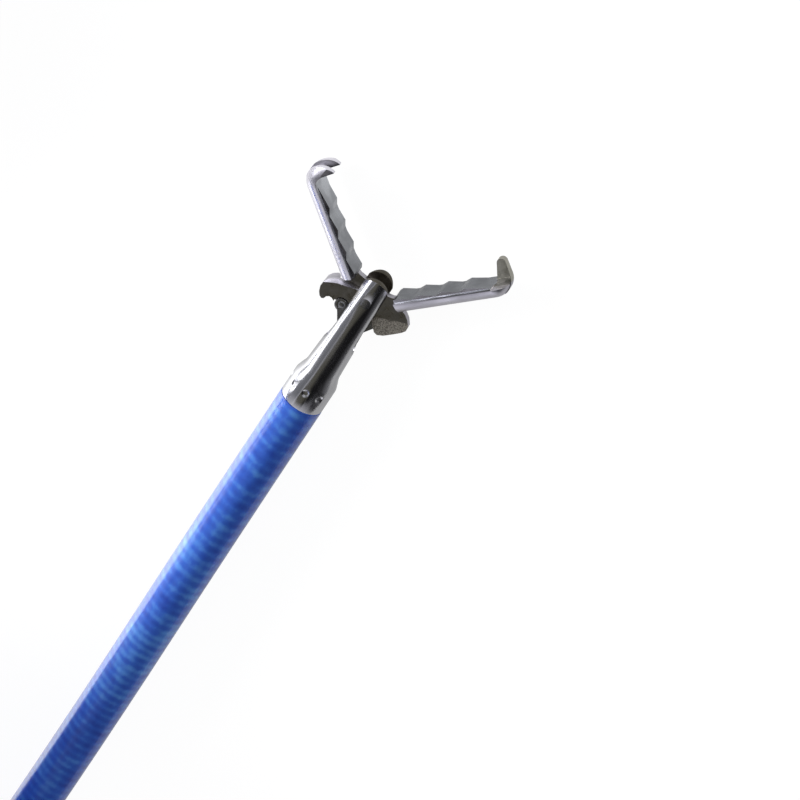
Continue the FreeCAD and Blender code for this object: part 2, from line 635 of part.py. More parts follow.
def strain_relief():
    """Soft tapered sleeve on the sheath, ringed with grooves so that it bends evenly."""
    tip = NOSE_TIP_X - RELIEF_LENGTH
    sleeve = lathe([(tip, 0), (tip, RELIEF_TIP_R - 0.3), (tip + 0.3, RELIEF_TIP_R),
                    (NOSE_TIP_X, RELIEF_BASE_R), (NOSE_TIP_X, 0)])
    step = (RELIEF_LENGTH - 3.0) / RELIEF_RIBS
    for i in range(RELIEF_RIBS):
        x = tip + 2.0 + i * step
        radius = RELIEF_TIP_R + (RELIEF_BASE_R - RELIEF_TIP_R) * (x - tip) / RELIEF_LENGTH
        cutter = rod(x, x + 0.4 * step, RELIEF_BASE_R + 1).cut(rod(x, x + 0.4 * step, radius - RELIEF_GROOVE))
        sleeve = sleeve.cut(cutter)
    return sleeve


def finger_slider():
    """Sleeve on the shaft with a finger ring each side, moulded in one."""
    sleeve = rounded_bar(SLIDER_X - SLEEVE_LENGTH / 2, SLIDER_X + SLEEVE_LENGTH / 2,
                         SLEEVE_WIDE, SLEEVE_THICK, SLEEVE_ROUND)
    rings = []
    for side in (1, -1):
        loop = ring(SLIDER_X, side * FINGER_Y, FINGER_R, FINGER_HOLE_R, FINGER_THICK, FINGER_ROUND)
        rings.append(loop)
    body = one([sleeve] + rings)
    way = rounded_bar(SLIDER_X - SLEEVE_LENGTH, SLIDER_X + SLEEVE_LENGTH,
                      SHAFT_WIDE + 2 * SLIDE_CLEAR, SHAFT_THICK + 2 * SLIDE_CLEAR, SHAFT_ROUND)
    body = body.cut(way)
    half = SLEEVE_THICK / 2
    return body.cut(disc(SLIDER_X, 0, SCREW_HEAD_R + 0.1, SHAFT_THICK / 2 + SLIDE_CLEAR - 0.1, half + 1))


BLOCK_TOP = SHAFT_THICK / 2 + SLIDE_CLEAR


def wire_block():
    """Brass block that runs in the shaft's slot and grips the wire tube."""
    half = SLOT_WIDE / 2 - BLOCK_CLEAR
    block = box(SLIDER_X - BLOCK_LENGTH / 2, SLIDER_X + BLOCK_LENGTH / 2, -half, half,
                BLOCK_TOP - BLOCK_HIGH, BLOCK_TOP)
    upright = [edge for edge in block.Edges if abs(edge.tangentAt(edge.FirstParameter).z) > 0.9]
    block = block.makeFillet(0.8 * half, upright)
    block = block.cut(rod(SLIDER_X - BLOCK_LENGTH, SLIDER_X + BLOCK_LENGTH, WIRE_TUBE_R))
    return block.cut(disc(SLIDER_X, 0, SCREW_R, BLOCK_TOP - SCREW_DEPTH, BLOCK_TOP))


def clamp_screw():
    """Cheese head screw with a driver slot, let into the slider's top."""
    head = disc(SLIDER_X, 0, SCREW_HEAD_R, BLOCK_TOP, BLOCK_TOP + SCREW_HEAD_T)
    head = head.cut(box(SLIDER_X - SCREW_HEAD_R, SLIDER_X + SCREW_HEAD_R, -0.3, 0.3,
                        BLOCK_TOP + SCREW_HEAD_T - 0.5, BLOCK_TOP + SCREW_HEAD_T))
    return one([head, disc(SLIDER_X, 0, SCREW_R, BLOCK_TOP - SCREW_DEPTH, BLOCK_TOP)])


def wire_tube():
    """Stiff tube that pushes the pull wire through the handle's nose."""
    end = SLIDER_X + BLOCK_LENGTH / 2
    tube = rod(end - WIRE_TUBE_LENGTH, end, WIRE_TUBE_R)
    return tube.cut(rod(end - WIRE_TUBE_LENGTH, end, WIRE_R))


def at_tip(shape):
    return moved(shape, TIP_X, TIP_Y, SHEATH_R)


def at_handle(shape):
    return moved(shape, 0, HANDLE_Y, HANDLE_Z)


run_tip, run_tip_length = cord(ROUTE_TIP, "sheath_run_tip")
run_handle, run_handle_length = cord(ROUTE_HANDLE, "sheath_run_handle")
coil_length = 2 * math.pi * COIL_MEAN_R * COIL_TURNS
print("sheath length", round(run_tip_length + run_handle_length + coil_length, 1))
print("draw pin open", round(DRAW_OPEN_X, 4))

double = jaw(prong_hook(), PRONG_BEND_X, double_plate())
single = flipped(jaw(tooth_hook(), TOOTH_BEND_X, single_plate()))

pieces = {
    "clevis_housing": at_tip(clevis_housing()),
    "jaw_double_tooth": at_tip(turned(double, OPEN_DOUBLE)),
    "jaw_single_tooth": at_tip(turned(single, -OPEN_SINGLE)),
    "jaw_pivot_pin": at_tip(pivot_pin()),
    "link_double": at_tip(link(OPEN_DOUBLE, -1)),
    "link_single": at_tip(flipped(link(OPEN_SINGLE, -1))),
    "rivet_double": at_tip(rivet(OPEN_DOUBLE, -1)),
    "rivet_single": at_tip(flipped(rivet(OPEN_SINGLE, -1))),
    "draw_head": at_tip(draw_head()),
    "draw_pin": at_tip(draw_pin()),
    "pull_wire_tip": at_tip(pull_wire()),
    "sheath_coil_end": at_tip(coil_end()),
    "sheath_run_tip": run_tip,
    "sheath_coil": sheath_coil(),
    "sheath_run_handle": run_handle,
    "strain_relief": at_handle(strain_relief()),
    "nose_cap": at_handle(nose_cap()),
    "handle_body": at_handle(handle_body()),
    "finger_slider": at_handle(finger_slider()),
    "wire_tube": at_handle(wire_tube()),
    "wire_block": at_handle(wire_block()),
    "clamp_screw": at_handle(clamp_screw()),
}
for name, angle in TIE_ANGLES.items():
    pieces[name] = coil_tie(angle)

for name, shape in pieces.items():
    solids = shape.Solids
    if len(solids) == 1:
        shape = solids[0]
    size = shape.BoundBox
    print(name, "solids", len(solids), "valid", shape.isValid(), "volume", round(shape.Volume, 4),
          "box", [round(v, 2) for v in (size.XMin, size.XMax, size.YMin, size.YMax, size.ZMin, size.ZMax)])
    shape.exportStep("parts/" + name + ".step")
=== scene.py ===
import math

import bmesh
import bpy
from mathutils import Matrix, Vector, geometry


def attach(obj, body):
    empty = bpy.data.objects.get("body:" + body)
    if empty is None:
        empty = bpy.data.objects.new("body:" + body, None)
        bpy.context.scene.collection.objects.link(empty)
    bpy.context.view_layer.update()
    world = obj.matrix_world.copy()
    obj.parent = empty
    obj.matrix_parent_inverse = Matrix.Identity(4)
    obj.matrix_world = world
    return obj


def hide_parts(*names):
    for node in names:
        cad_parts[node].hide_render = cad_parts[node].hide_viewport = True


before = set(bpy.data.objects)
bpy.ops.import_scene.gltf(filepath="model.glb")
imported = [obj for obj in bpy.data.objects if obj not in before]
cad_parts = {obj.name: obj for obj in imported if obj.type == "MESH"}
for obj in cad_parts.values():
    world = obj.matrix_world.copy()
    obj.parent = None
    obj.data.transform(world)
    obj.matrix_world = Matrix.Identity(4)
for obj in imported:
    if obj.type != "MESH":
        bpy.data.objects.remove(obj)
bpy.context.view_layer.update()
MM = 0.001


# Camera: a long lens looks down on the tip from ahead of it, so that the open jaws point
# up and to the right. The two slants are measured from the photograph's sheath and teeth.
TIP = Vector((62.0, -40.285, 1.15)) * MM
VIEW_FROM = Vector((0.480, 0.0, 0.877)).normalized()
TIP_TURN = math.radians(33.8)
TIP_LEFT_OF_MIDDLE = 1.495 * MM
TIP_ABOVE_MIDDLE = 5.0 * MM
FRAME_WIDTH = 39.2 * MM
CAMERA_DISTANCE = 0.6
SENSOR_WIDTH = 36.0

along = Vector((0, 1, 0)).cross(VIEW_FROM)
picture_right = math.sin(TIP_TURN) * along - math.cos(TIP_TURN) * Vector((0, 1, 0))
picture_up = math.cos(TIP_TURN) * along + math.sin(TIP_TURN) * Vector((0, 1, 0))
middle = TIP + TIP_LEFT_OF_MIDDLE * picture_right - TIP_ABOVE_MIDDLE * picture_up
camera_data = bpy.data.cameras.new("camera")
camera_data.sensor_width = SENSOR_WIDTH
camera_data.lens = SENSOR_WIDTH * CAMERA_DISTANCE / FRAME_WIDTH
camera = bpy.data.objects.new("camera", camera_data)
bpy.context.scene.collection.objects.link(camera)
turn = Matrix((picture_right, picture_up, VIEW_FROM)).transposed()
camera.matrix_world = Matrix.Translation(middle + VIEW_FROM * CAMERA_DISTANCE) @ turn.to_4x4()
bpy.context.scene.camera = camera


# Floor and light: white paper under the forceps in a white studio tent, a large soft box on
# the left and a smaller one high on the right. The paper keeps a faint shadow.
PAPER_OWN_GLOW = 0.88
# The paper's glow: even as the camera sees it, and in what the steel mirrors a painted shade beside the tip
# and painted light further left
PAPER_SEEN, PAPER_PAINTED_SHADE_BESIDE, PAPER_PAINTED_LIGHT_LEFT, PAPER_PAINTED_LIGHT_FAR_LEFT = 1.08, 0.45, 1.15, 3.80
WALL_GLOW, LEFT_WALL_GLOW = 0.9, 4.5
# Right wall to left wall, as the polished steel mirrors them
WALLS = [(0.00, "77777a"), (0.06, "454547"), (0.12, "1a1a1b"), (0.40, "161617"), (0.50, "5a584f"),
         (0.64, "5c5a53"), (0.68, "b9b9c0"), (0.72, "6f7074"), (0.90, "85868c"), (0.93, "f6f6fa"),
         (1.00, "ffffff")]


def colour(code):
    """An sRGB colour such as 1f3494 as linear red, green, blue and alpha."""
    parts = [int(code[i:i + 2], 16) / 255 for i in (0, 2, 4)]
    return [c / 12.92 if c <= 0.04045 else ((c + 0.055) / 1.055) ** 2.4 for c in parts] + [1.0]


def add(tree, kind, inputs=None, **settings):
    """One node of a material: its settings, and its inputs as values or as other nodes' outputs."""
    node = tree.nodes.new("ShaderNode" + kind)
    for name, value in settings.items():
        setattr(node, name, value)
    for name, value in (inputs or {}).items():
        if isinstance(value, bpy.types.NodeSocket):
            tree.links.new(value, node.inputs[name])
        else:
            node.inputs[name].default_value = value
    return node


def blank_material(name):
    """A new material and its node tree, emptied of the nodes that it starts with."""
    material = bpy.data.materials.new(name)
    material.use_nodes = True
    material.node_tree.nodes.clear()
    return material, material.node_tree


# White paper: matt, and glowing by itself so that it comes out white in the picture. What the
# steel mirrors of its glow is painted: painted shade close beside the tool, painted light on its left,
# brightest left of the sheath.
paper, tree = blank_material("white studio paper")
path = add(tree, "LightPath")
seen = add(tree, "Math", {0: path.outputs["Is Camera Ray"], 1: path.outputs["Is Glossy Ray"]},
           operation="MAXIMUM")
seen = add(tree, "Math", {0: seen.outputs[0], 1: path.outputs["Is Transmission Ray"]}, operation="MAXIMUM")
share = add(tree, "Math", {0: seen.outputs[0], 1: PAPER_OWN_GLOW}, operation="MULTIPLY")
lit = add(tree, "BsdfDiffuse", {"Color": colour("f4f4f4")})
spot = add(tree, "SeparateXYZ", {0: add(tree, "NewGeometry").outputs["Position"]})
# Painted light: the paper's mirrored glow grows towards the left and back, as if under the large soft box
left = add(tree, "MapRange", {
    "Value": spot.outputs["X"], "From Min": TIP.x - 5 * MM, "From Max": TIP.x - 10 * MM,
    "To Min": PAPER_PAINTED_LIGHT_LEFT, "To Max": PAPER_PAINTED_LIGHT_FAR_LEFT})
left = add(tree, "MapRange", {
    "Value": spot.outputs["Y"], "From Min": TIP.y + 35 * MM, "From Max": TIP.y + 20 * MM,
    "To Min": PAPER_PAINTED_LIGHT_LEFT, "To Max": left.outputs[0]})
# Painted shade: the paper's mirrored glow is dimmer close beside the tip, as if the jaws shaded it there
side = add(tree, "MapRange", {
    "Value": spot.outputs["Y"], "From Min": TIP.y + 0.5 * MM, "From Max": TIP.y + 6 * MM,
    "To Min": PAPER_PAINTED_SHADE_BESIDE, "To Max": left.outputs[0]})
mirrored = add(tree, "Math", {0: 1.0, 1: path.outputs["Is Camera Ray"]}, operation="SUBTRACT")
seen_and_painted_glow = add(tree, "Mix", {0: mirrored.outputs[0], 2: PAPER_SEEN, 3: side.outputs[0]})
white = add(tree, "Emission", {"Color": (1, 1, 1, 1), "Strength": seen_and_painted_glow.outputs[0]})
mix = add(tree, "MixShader", {0: share.outputs[0], 1: lit.outputs[0], 2: white.outputs[0]})
add(tree, "OutputMaterial", {"Surface": mix.outputs[0]})

floor_mesh = bpy.data.meshes.new("paper")
bm = bmesh.new()
bmesh.ops.create_grid(bm, x_segments=1, y_segments=1, size=20.0)
bm.to_mesh(floor_mesh)
bm.free()
floor = bpy.data.objects.new("paper", floor_mesh)
floor_mesh.materials.append(paper)
bpy.context.scene.collection.objects.link(floor)

# The tent: plain white behind the object, and in the steel a dark right side, a grey roof, a
# bright left wall and a white panel at each end.
bpy.context.scene.view_settings.view_transform = "Standard"
world = bpy.data.worlds.new("studio tent")
bpy.context.scene.world = world
world.use_nodes = True
tree = world.node_tree
tree.nodes.clear()
path = add(tree, "LightPath")
way = add(tree, "SeparateXYZ", {0: add(tree, "TexCoord").outputs["Generated"]})
across = add(tree, "MapRange", {"Value": way.outputs["Y"], "From Min": -1.0})
walls = add(tree, "ValToRGB", {0: across.outputs[0]})
ramp = walls.color_ramp
for at, code in WALLS[1:-1]:
    ramp.elements.new(at)
for element, (at, code) in zip(ramp.elements, WALLS):
    element.position, element.color = at, colour(code)
behind = add(tree, "MapRange", {"Value": way.outputs["X"], "From Min": -0.60, "From Max": -0.85})
ahead = add(tree, "MapRange", {"Value": way.outputs["X"], "From Min": 0.35, "From Max": 0.60})
panels = add(tree, "Math", {0: behind.outputs[0], 1: ahead.outputs[0]}, operation="ADD")
panel = add(tree, "Mix", {0: panels.outputs[0], 6: walls.outputs[0], 7: colour("f2f2fa")}, data_type="RGBA")
left_wall = add(tree, "MapRange", {"Value": way.outputs["Y"], "From Min": 0.82, "From Max": 0.90,
                                   "To Min": WALL_GLOW, "To Max": LEFT_WALL_GLOW})
room = add(tree, "Background", {"Color": panel.outputs[2], "Strength": left_wall.outputs[0]})
plain = add(tree, "Background", {"Color": (1, 1, 1, 1), "Strength": 1.0})
mix = add(tree, "MixShader", {0: path.outputs["Is Camera Ray"], 1: room.outputs[0], 2: plain.outputs[0]})
add(tree, "OutputWorld", {"Surface": mix.outputs[0]})


def soft_box(name, direction, distance, size, power, mirrored=True):
    """A square lamp that faces the tip from that direction, seen or not seen in the steel."""
    data = bpy.data.lights.new(name, "AREA")
    data.size = size
    data.energy = power
    lamp = bpy.data.objects.new(name, data)
    towards = Vector(direction).normalized()
    lamp.location = TIP + towards * distance
    lamp.rotation_euler = towards.to_track_quat("Z", "Y").to_euler()
    lamp.visible_glossy = mirrored
    bpy.context.scene.collection.objects.link(lamp)


soft_box("soft box left", (-0.30, 0.93, 0.22), 1.6, 0.9, 36.0, False)
soft_box("soft box right", VIEW_FROM * 0.9 + picture_right * 1.0 + picture_up * 0.4, 1.8, 0.5, 7.0)


# Sheath: a close-wound stainless wire coil under a thin blue polyethylene coating, 2.3 mm over
# all and 1.53 m long. The length past the view is wound in a tied coil of fifteen turns.
SHEATH_R = 1.15 * MM
SHEATH_PITCH = 2.35 * MM
COIL_X = 14.0 * MM
COIL_RINGS = 4
COIL_LAYERS = 4
BUNDLE_MIDDLE_R, BUNDLE_LOW = 14.2, 0.4
COIL_OUTER_R = BUNDLE_MIDDLE_R * MM + 0.5 * (COIL_RINGS - 1) * SHEATH_PITCH
COIL_Y = TIP.y + COIL_OUTER_R
COIL_Z = SHEATH_R + BUNDLE_LOW * MM
COIL_TURNS = 15
COIL_POINTS = 20
COIL_SECTOR = 0.16
SPLINE_STEPS = 4
SHEATH_SIDES = 24
# The route before and after the coil, in millimetres, with y from the tip's own line
ROUTE_TIP = [(55.15, 0, 1.15), (45.5, 0, 1.15), (34.5, -0.12, 1.15), (24.0, -0.05, 1.30)]
ROUTE_HANDLE = [
    (3.0, -0.2, 8.2), (-10.0, -0.8, 5.6), (-24.0, -1.2, 2.4), (-39.0, -1.0, 1.2),
    (-55.0, -0.2, 1.2), (-71.0, 2.2, 1.2), (-84.5, 9.6, 1.2), (-93.6, 20.4, 1.4),
    (-96.2, 33.4, 2.5), (-92.6, 44.6, 3.8), (-84.5, 50.0, 4.5), (-75.0, 50.0, 4.5),
]


def smooth(t):
    """A share from 0 to 1 that starts and ends gently."""
    t = min(max(t, 0.0), 1.0)
    return t * t * (3 - 2 * t)


# Each ring change and each rise to the next layer has a sector of its own, one before the
# other round the coil, so that no turn runs through another.
changes, at = [], 1.0
for layer in range(COIL_LAYERS):
    for _ in range(COIL_RINGS - 1):
        changes.append((at, 1 if layer % 2 == 0 else -1, 0))
        at += 1.0
    at -= COIL_SECTOR
    if layer < COIL_LAYERS - 1:
        changes.append((at, 0, 1))
    at += 1.0 - COIL_SECTOR


def coil_point(turns):
    """A point on the wound coil, that many turns after the sheath first meets it."""
    ring = layer = 0.0
    for start, inward, up in changes:
        share = smooth((turns - start) / COIL_SECTOR)
        ring += inward * share
        layer += up * share
    radius = COIL_OUTER_R - SHEATH_PITCH * ring
    angle = -math.pi / 2 - 2 * math.pi * turns
    return Vector((COIL_X + radius * math.cos(angle), COIL_Y + radius * math.sin(angle),
                   COIL_Z + SHEATH_PITCH * layer))


route = [Vector((x * MM, TIP.y + y * MM, z * MM)) for x, y, z in ROUTE_TIP]
route += [coil_point(i / COIL_POINTS) for i in range(COIL_TURNS * COIL_POINTS + 1)]
route += [Vector((x * MM, TIP.y + y * MM, z * MM)) for x, y, z in ROUTE_HANDLE]

line = bpy.data.curves.new("sheath line", "CURVE")
line.dimensions = "3D"
spline = line.splines.new("NURBS")
spline.points.add(len(route) - 1)
for point, place in zip(spline.points, route):
    point.co = (*place, 1.0)
spline.order_u = 3
spline.use_endpoint_u = True
spline.resolution_u = SPLINE_STEPS
line_object = bpy.data.objects.new("sheath line", line)
bpy.context.scene.collection.objects.link(line_object)
centre_line = [v.co.copy() for v in bpy.data.meshes.new_from_object(line_object).vertices]
line.bevel_depth = SHEATH_R
line.bevel_resolution = SHEATH_SIDES // 2 - 2
line.use_fill_caps = True
sheath_mesh = bpy.data.meshes.new_from_object(line_object)
bpy.data.objects.remove(line_object)


def measured_uv(mesh, centres, sides):
    """Gives a curve's tube a UV map in turns round it and metres along it."""
    along = [0.0]
    for a, b in zip(centres, centres[1:]):
        along.append(along[-1] + (b - a).length)
    uv = mesh.uv_layers.get("UVMap") or mesh.uv_layers.new(name="UVMap")
    rings = len(centres) * sides
    for face in mesh.polygons:
        corners = [(mesh.loops[i].vertex_index, i) for i in face.loop_indices]
        columns = [v % sides for v, _ in corners]
        wraps = 0 in columns and sides - 1 in columns
        for v, i in corners:
            turn = (v % sides) / sides + (1.0 if wraps and v % sides == 0 else 0.0)
            uv.data[i].uv = (turn, along[min(v, rings - 1) // sides])
    return along[-1]


def shown(name, mesh):
    """A finished mesh as an object of the scene, at the origin."""
    piece = bpy.data.objects.new(name, mesh)
    bpy.context.scene.collection.objects.link(piece)
    return piece


sheath_length = measured_uv(sheath_mesh, centre_line, SHEATH_SIDES)
sheath = shown("blue_sheath", sheath_mesh)
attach(sheath, "forceps_body")
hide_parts("sheath_run_tip", "sheath_coil", "sheath_run_handle")
# Blue polyethylene: glossy and a little see-through, lighter over each round of the wire coil
# that it was pulled over, with clouds of 0.8 mm in it and slow changes of thickness over 5 mm.
COIL_WIRE_PITCH = 0.44 * MM
blue, tree = blank_material("blue polyethylene over wire coil")
uv = add(tree, "SeparateXYZ", {0: add(tree, "UVMap").outputs[0]})
rounds = add(tree, "Math", {0: uv.outputs["Y"], 1: 1 / COIL_WIRE_PITCH, 2: uv.outputs["X"]},
             operation="MULTIPLY_ADD")
rounds = add(tree, "Math", {0: rounds.outputs[0], 1: 2 * math.pi}, operation="MULTIPLY")
wave = add(tree, "Math", {0: rounds.outputs[0]}, operation="SINE")
place = add(tree, "TexCoord")
cloud = add(tree, "TexNoise", {"Vector": place.outputs["Object"], "Scale": 1300.0, "Detail": 3.0})
drift = add(tree, "TexNoise", {"Vector": place.outputs["Object"], "Scale": 220.0, "Detail": 2.0})
rib = add(tree, "Math", {0: wave.outputs[0], 1: 0.10, 2: cloud.outputs[0]}, operation="MULTIPLY_ADD")
rib = add(tree, "Math", {0: drift.outputs[0], 1: 0.6, 2: rib.outputs[0]}, operation="MULTIPLY_ADD")
thin = add(tree, "MapRange", {"Value": rib.outputs[0], "From Min": 0.35, "From Max": 1.25})
tint = add(tree, "ValToRGB", {0: thin.outputs[0]})
tint.color_ramp.elements.new(0.5)
for element, code in zip(tint.color_ramp.elements, ("1f42ae", "3668d0", "62a4ee")):
    element.color = colour(code)
raised = add(tree, "Bump", {"Height": rib.outputs[0], "Strength": 0.35, "Distance": 0.03 * MM})
shader = add(tree, "BsdfPrincipled", {
    "Base Color": tint.outputs[0], "Roughness": 0.36, "IOR": 1.52, "Coat Weight": 1.0,
    "Coat Roughness": 0.20, "Subsurface Weight": 0.15, "Subsurface Radius": (0.0003, 0.0005, 0.001),
    "Subsurface Scale": 0.5, "Normal": raised.outputs[0]})
add(tree, "OutputMaterial", {"Surface": shader.outputs[0]})
sheath.data.materials.append(blue)


# Clevis housing: turned and slotted from stainless bar, its collar crimped on the sheath with
# nine punch marks. Polished lengthwise, so its reflections are drawn out along the barrel.
JAW_R = 0.90
PLATE_GAP, PLATE_T = 0.01, 0.38
PLATE_LOW, PLATE_HIGH = -(PLATE_GAP + PLATE_T), -PLATE_GAP
SLOT_HALF = PLATE_GAP + PLATE_T + 0.02
EAR_R, EAR_REACH, EAR_END_R = 0.80, 1.34, 0.78
SLOT_BACK = 2.75
COLLAR_BACK, COLLAR_FRONT, COLLAR_R, COLLAR_WALL = 6.85, 5.40, 1.14, 0.14
BARREL_BACK, BARREL_BACK_R, BARREL_FRONT = 4.75, 0.93, 2.00
BORE_R, PIN_R = 0.60, 0.26
PUNCHES, PUNCH_TURN, PUNCH_X = 9, 39, COLLAR_BACK - 1.02
PUNCH_DEEP, PUNCH_OUT, PUNCH_TIP_R, PUNCH_R = 0.07, 0.06, 0.12, 0.31
BROKEN_EDGE = 0.035
ROUND_SIDES = 72
POLISHED, UNPOLISHED = 0, 1


def prism(outline, low, high, axis="Z"):
    """A closed solid: a flat outline carried along an axis. For X the outline is (y, z)."""
    bm = bmesh.new()
    place = {"X": lambda a, b: (low, a, b), "Y": lambda a, b: (a, low, b), "Z": lambda a, b: (a, b, low)}
    way = {"X": (1, 0, 0), "Y": (0, 1, 0), "Z": (0, 0, 1)}
    bottom = bm.faces.new([bm.verts.new(place[axis](a, b)) for a, b in outline])
    top = bmesh.ops.extrude_face_region(bm, geom=[bottom], use_keep_orig=True)["geom"]
    top = [item for item in top if isinstance(item, bmesh.types.BMVert)]
    bmesh.ops.translate(bm, vec=Vector(way[axis]) * (high - low), verts=top)
    bmesh.ops.recalc_face_normals(bm, faces=bm.faces)
    return bm


def arc(x, y, radius, start, end, steps):
    """Points on an arc, with its angles in degrees."""
    angles = [math.radians(start + (end - start) * i / steps) for i in range(steps + 1)]
    return [(x + radius * math.cos(a), y + radius * math.sin(a)) for a in angles]


def disc(x, y, radius, low, high, sides=48):
    """A round plate or a pin that stands upright."""
    return prism(arc(x, y, radius, 0, 360, sides)[:-1], low, high)


def block(x0, x1, y0, y1, z0, z1):
    """A square-edged block between those limits."""
    return prism([(x0, y0), (x1, y0), (x1, y1), (x0, y1)], z0, z1)


def lofted(rings, closed=False):
    """A skin over rings of equally many points, capped at both ends or joined into a loop."""
    bm = bmesh.new()
    verts = [[bm.verts.new(p) for p in ring] for ring in rings]
    if closed:
        verts.append(verts[0])
    else:
        bm.faces.new(verts[0])
        bm.faces.new(verts[-1])
    for a, b in zip(verts, verts[1:]):
        for i in range(len(a)):
            bm.faces.new((a[i - 1], a[i], b[i], b[i - 1]))
    bmesh.ops.recalc_face_normals(bm, faces=bm.faces)
    return bm


def turned_solid(profile, sides=ROUND_SIDES):
    """A profile of (x, radius) points spun about the X axis and closed at its ends."""
    bm = bmesh.new()
    verts = [bm.verts.new((x, 0, r)) for x, r in profile]
    edges = [bm.edges.new(pair) for pair in zip(verts, verts[1:])]
    bmesh.ops.spin(bm, geom=verts + edges, cent=(0, 0, 0), axis=(1, 0, 0), angle=2 * math.pi,
                   steps=sides, use_merge=True, use_duplicate=False)
    bmesh.ops.remove_doubles(bm, verts=bm.verts, dist=1e-5)
    bmesh.ops.recalc_face_normals(bm, faces=bm.faces)
    return bm


def temporary(bm):
    """A bmesh as an object for a modifier to work on."""
    mesh = bpy.data.meshes.new("temporary")
    bm.to_mesh(mesh)
    bm.free()
    return shown("temporary", mesh)


def combined(bm, tools, operation):
    """The solid with other solids joined to it, cut from it or shared with it."""
    for tool in tools:
        body, cutter = temporary(bm), temporary(tool)
        modifier = body.modifiers.new("combine", "BOOLEAN")
        modifier.object, modifier.operation, modifier.solver = cutter, operation, "EXACT"
        bpy.context.view_layer.update()
        mesh = bpy.data.meshes.new_from_object(body.evaluated_get(bpy.context.evaluated_depsgraph_get()))
        bm = bmesh.new()
        bm.from_mesh(mesh)
        for thing in (body, cutter):
            bpy.data.objects.remove(thing)
    bmesh.ops.remove_doubles(bm, verts=bm.verts, dist=0.002)
    bmesh.ops.dissolve_degenerate(bm, edges=bm.edges, dist=0.002)
    return bm


def rounded(bm, width, sharp=24.0, segments=2):
    """Breaks the solid's sharp edges with a small round."""
    edges = [edge for edge in bm.edges
             if len(edge.link_faces) == 2 and edge.calc_face_angle(0.0) > math.radians(sharp)]
    bmesh.ops.bevel(bm, geom=edges, offset=width, offset_type="OFFSET", affect="EDGES", segments=segments,
                    profile=0.5, material=-1, clamp_overlap=True)
    return bm


def shaded_mesh(name, bm, sharp=50.0):
    """A finished bmesh as a smooth-shaded mesh that keeps its edges past that angle sharp."""
    for face in bm.faces:
        face.smooth = True
    mesh = bpy.data.meshes.new(name)
    bm.to_mesh(mesh)
    bm.free()
    mesh.set_sharp_from_angle(angle=math.radians(sharp))
    return mesh


def placed(name, bm, place):
    """A hard piece from its own frame in millimetres to its place, with its flat faces kept flat."""
    bmesh.ops.transform(bm, matrix=place @ Matrix.Scale(MM, 4), verts=bm.verts)
    piece = shown(name, shaded_mesh(name, bm))
    weights = piece.modifiers.new("flat faces", "WEIGHTED_NORMAL")
    weights.keep_sharp = True
    return piece


def at_tip(name, bm, degrees=0.0, flipped=False, at=(0, 0)):
    """A tip piece, turned over for the single jaw's side and swung to its opening."""
    over = Matrix.Rotation(math.pi, 4, "X") if flipped else Matrix.Identity(4)
    swing = Matrix.Rotation(math.radians(degrees), 4, "Z")
    return placed(name, bm, Matrix.Translation(TIP + Vector((*at, 0)) * MM) @ swing @ over)


def steel(name, hexcode, roughness, scale, bump, spots=0.1):
    """Bare metal: lines or grit of 1 mm over that scale roughen it, and spots of them darken it."""
    material, tree = blank_material(name)
    place = add(tree, "TexCoord")
    spot = add(tree, "Mapping", {"Vector": place.outputs["Object"], "Scale": scale})
    noise = add(tree, "TexNoise", {"Vector": spot.outputs[0], "Scale": 1000.0, "Detail": 4.0})
    worn = add(tree, "MapRange", {"Value": noise.outputs[0], "From Min": 0.35, "From Max": 0.65,
                                  "To Min": roughness * 0.7, "To Max": roughness * 1.4})
    dark = add(tree, "MapRange", {"Value": noise.outputs[0], "From Min": 0.40, "From Max": 0.60,
                                  "To Max": spots})
    tint = add(tree, "Mix", {0: dark.outputs[0], 6: colour(hexcode), 7: colour("2c2a26")}, data_type="RGBA")
    dent = add(tree, "Bump", {"Height": noise.outputs[0], "Strength": bump, "Distance": 0.02 * MM})
    shader = add(tree, "BsdfPrincipled", {"Base Color": tint.outputs[2], "Metallic": 1.0,
                                          "Roughness": worn.outputs[0], "Normal": dent.outputs[0]})
    add(tree, "OutputMaterial", {"Surface": shader.outputs[0]})
    return material


def punch(degrees):
    """The mark of one crimping punch: a blunt cone let into the collar."""
    low, high = COLLAR_R - PUNCH_DEEP, COLLAR_R + PUNCH_OUT
    bm = bmesh.new()
    bmesh.ops.create_cone(bm, cap_ends=True, segments=20, radius1=PUNCH_TIP_R, radius2=PUNCH_R,
                          depth=high - low)
    out = Matrix.Translation((-PUNCH_X, 0, (low + high) / 2))
    bmesh.ops.transform(bm, matrix=Matrix.Rotation(math.radians(degrees), 4, "X") @ out, verts=bm.verts)
    return bm


outside = turned_solid([
    (-COLLAR_BACK, 0), (-COLLAR_BACK, COLLAR_R - 0.05), (-COLLAR_BACK + 0.02, COLLAR_R - 0.015),
    (-COLLAR_BACK + 0.06, COLLAR_R), (-COLLAR_FRONT - 0.03, COLLAR_R),
    (-COLLAR_FRONT + 0.05, COLLAR_R - 0.012),
    (-0.5 * (COLLAR_FRONT + BARREL_BACK), 0.5 * (COLLAR_R + BARREL_BACK_R) + 0.01),
    (-BARREL_BACK - 0.08, BARREL_BACK_R + 0.03), (-BARREL_BACK + 0.1, BARREL_BACK_R - 0.006),
    (-0.5 * (BARREL_BACK + BARREL_FRONT), 0.5 * (BARREL_BACK_R + EAR_R)),
    (-BARREL_FRONT - 0.1, EAR_R + 0.004), (-BARREL_FRONT + 0.2, EAR_R), (EAR_REACH + 0.1, EAR_R),
    (EAR_REACH + 0.1, 0),
])
ear_end = EAR_REACH - EAR_END_R
silhouette = [(-COLLAR_BACK - 1, -2), (0, -2), (0, -EAR_END_R)] \
    + arc(ear_end, 0, EAR_END_R, -90, 90, 24) + [(0, EAR_END_R), (0, 2), (-COLLAR_BACK - 1, 2)]
housing = combined(outside, [prism(silhouette, -2, 2)], "INTERSECT")
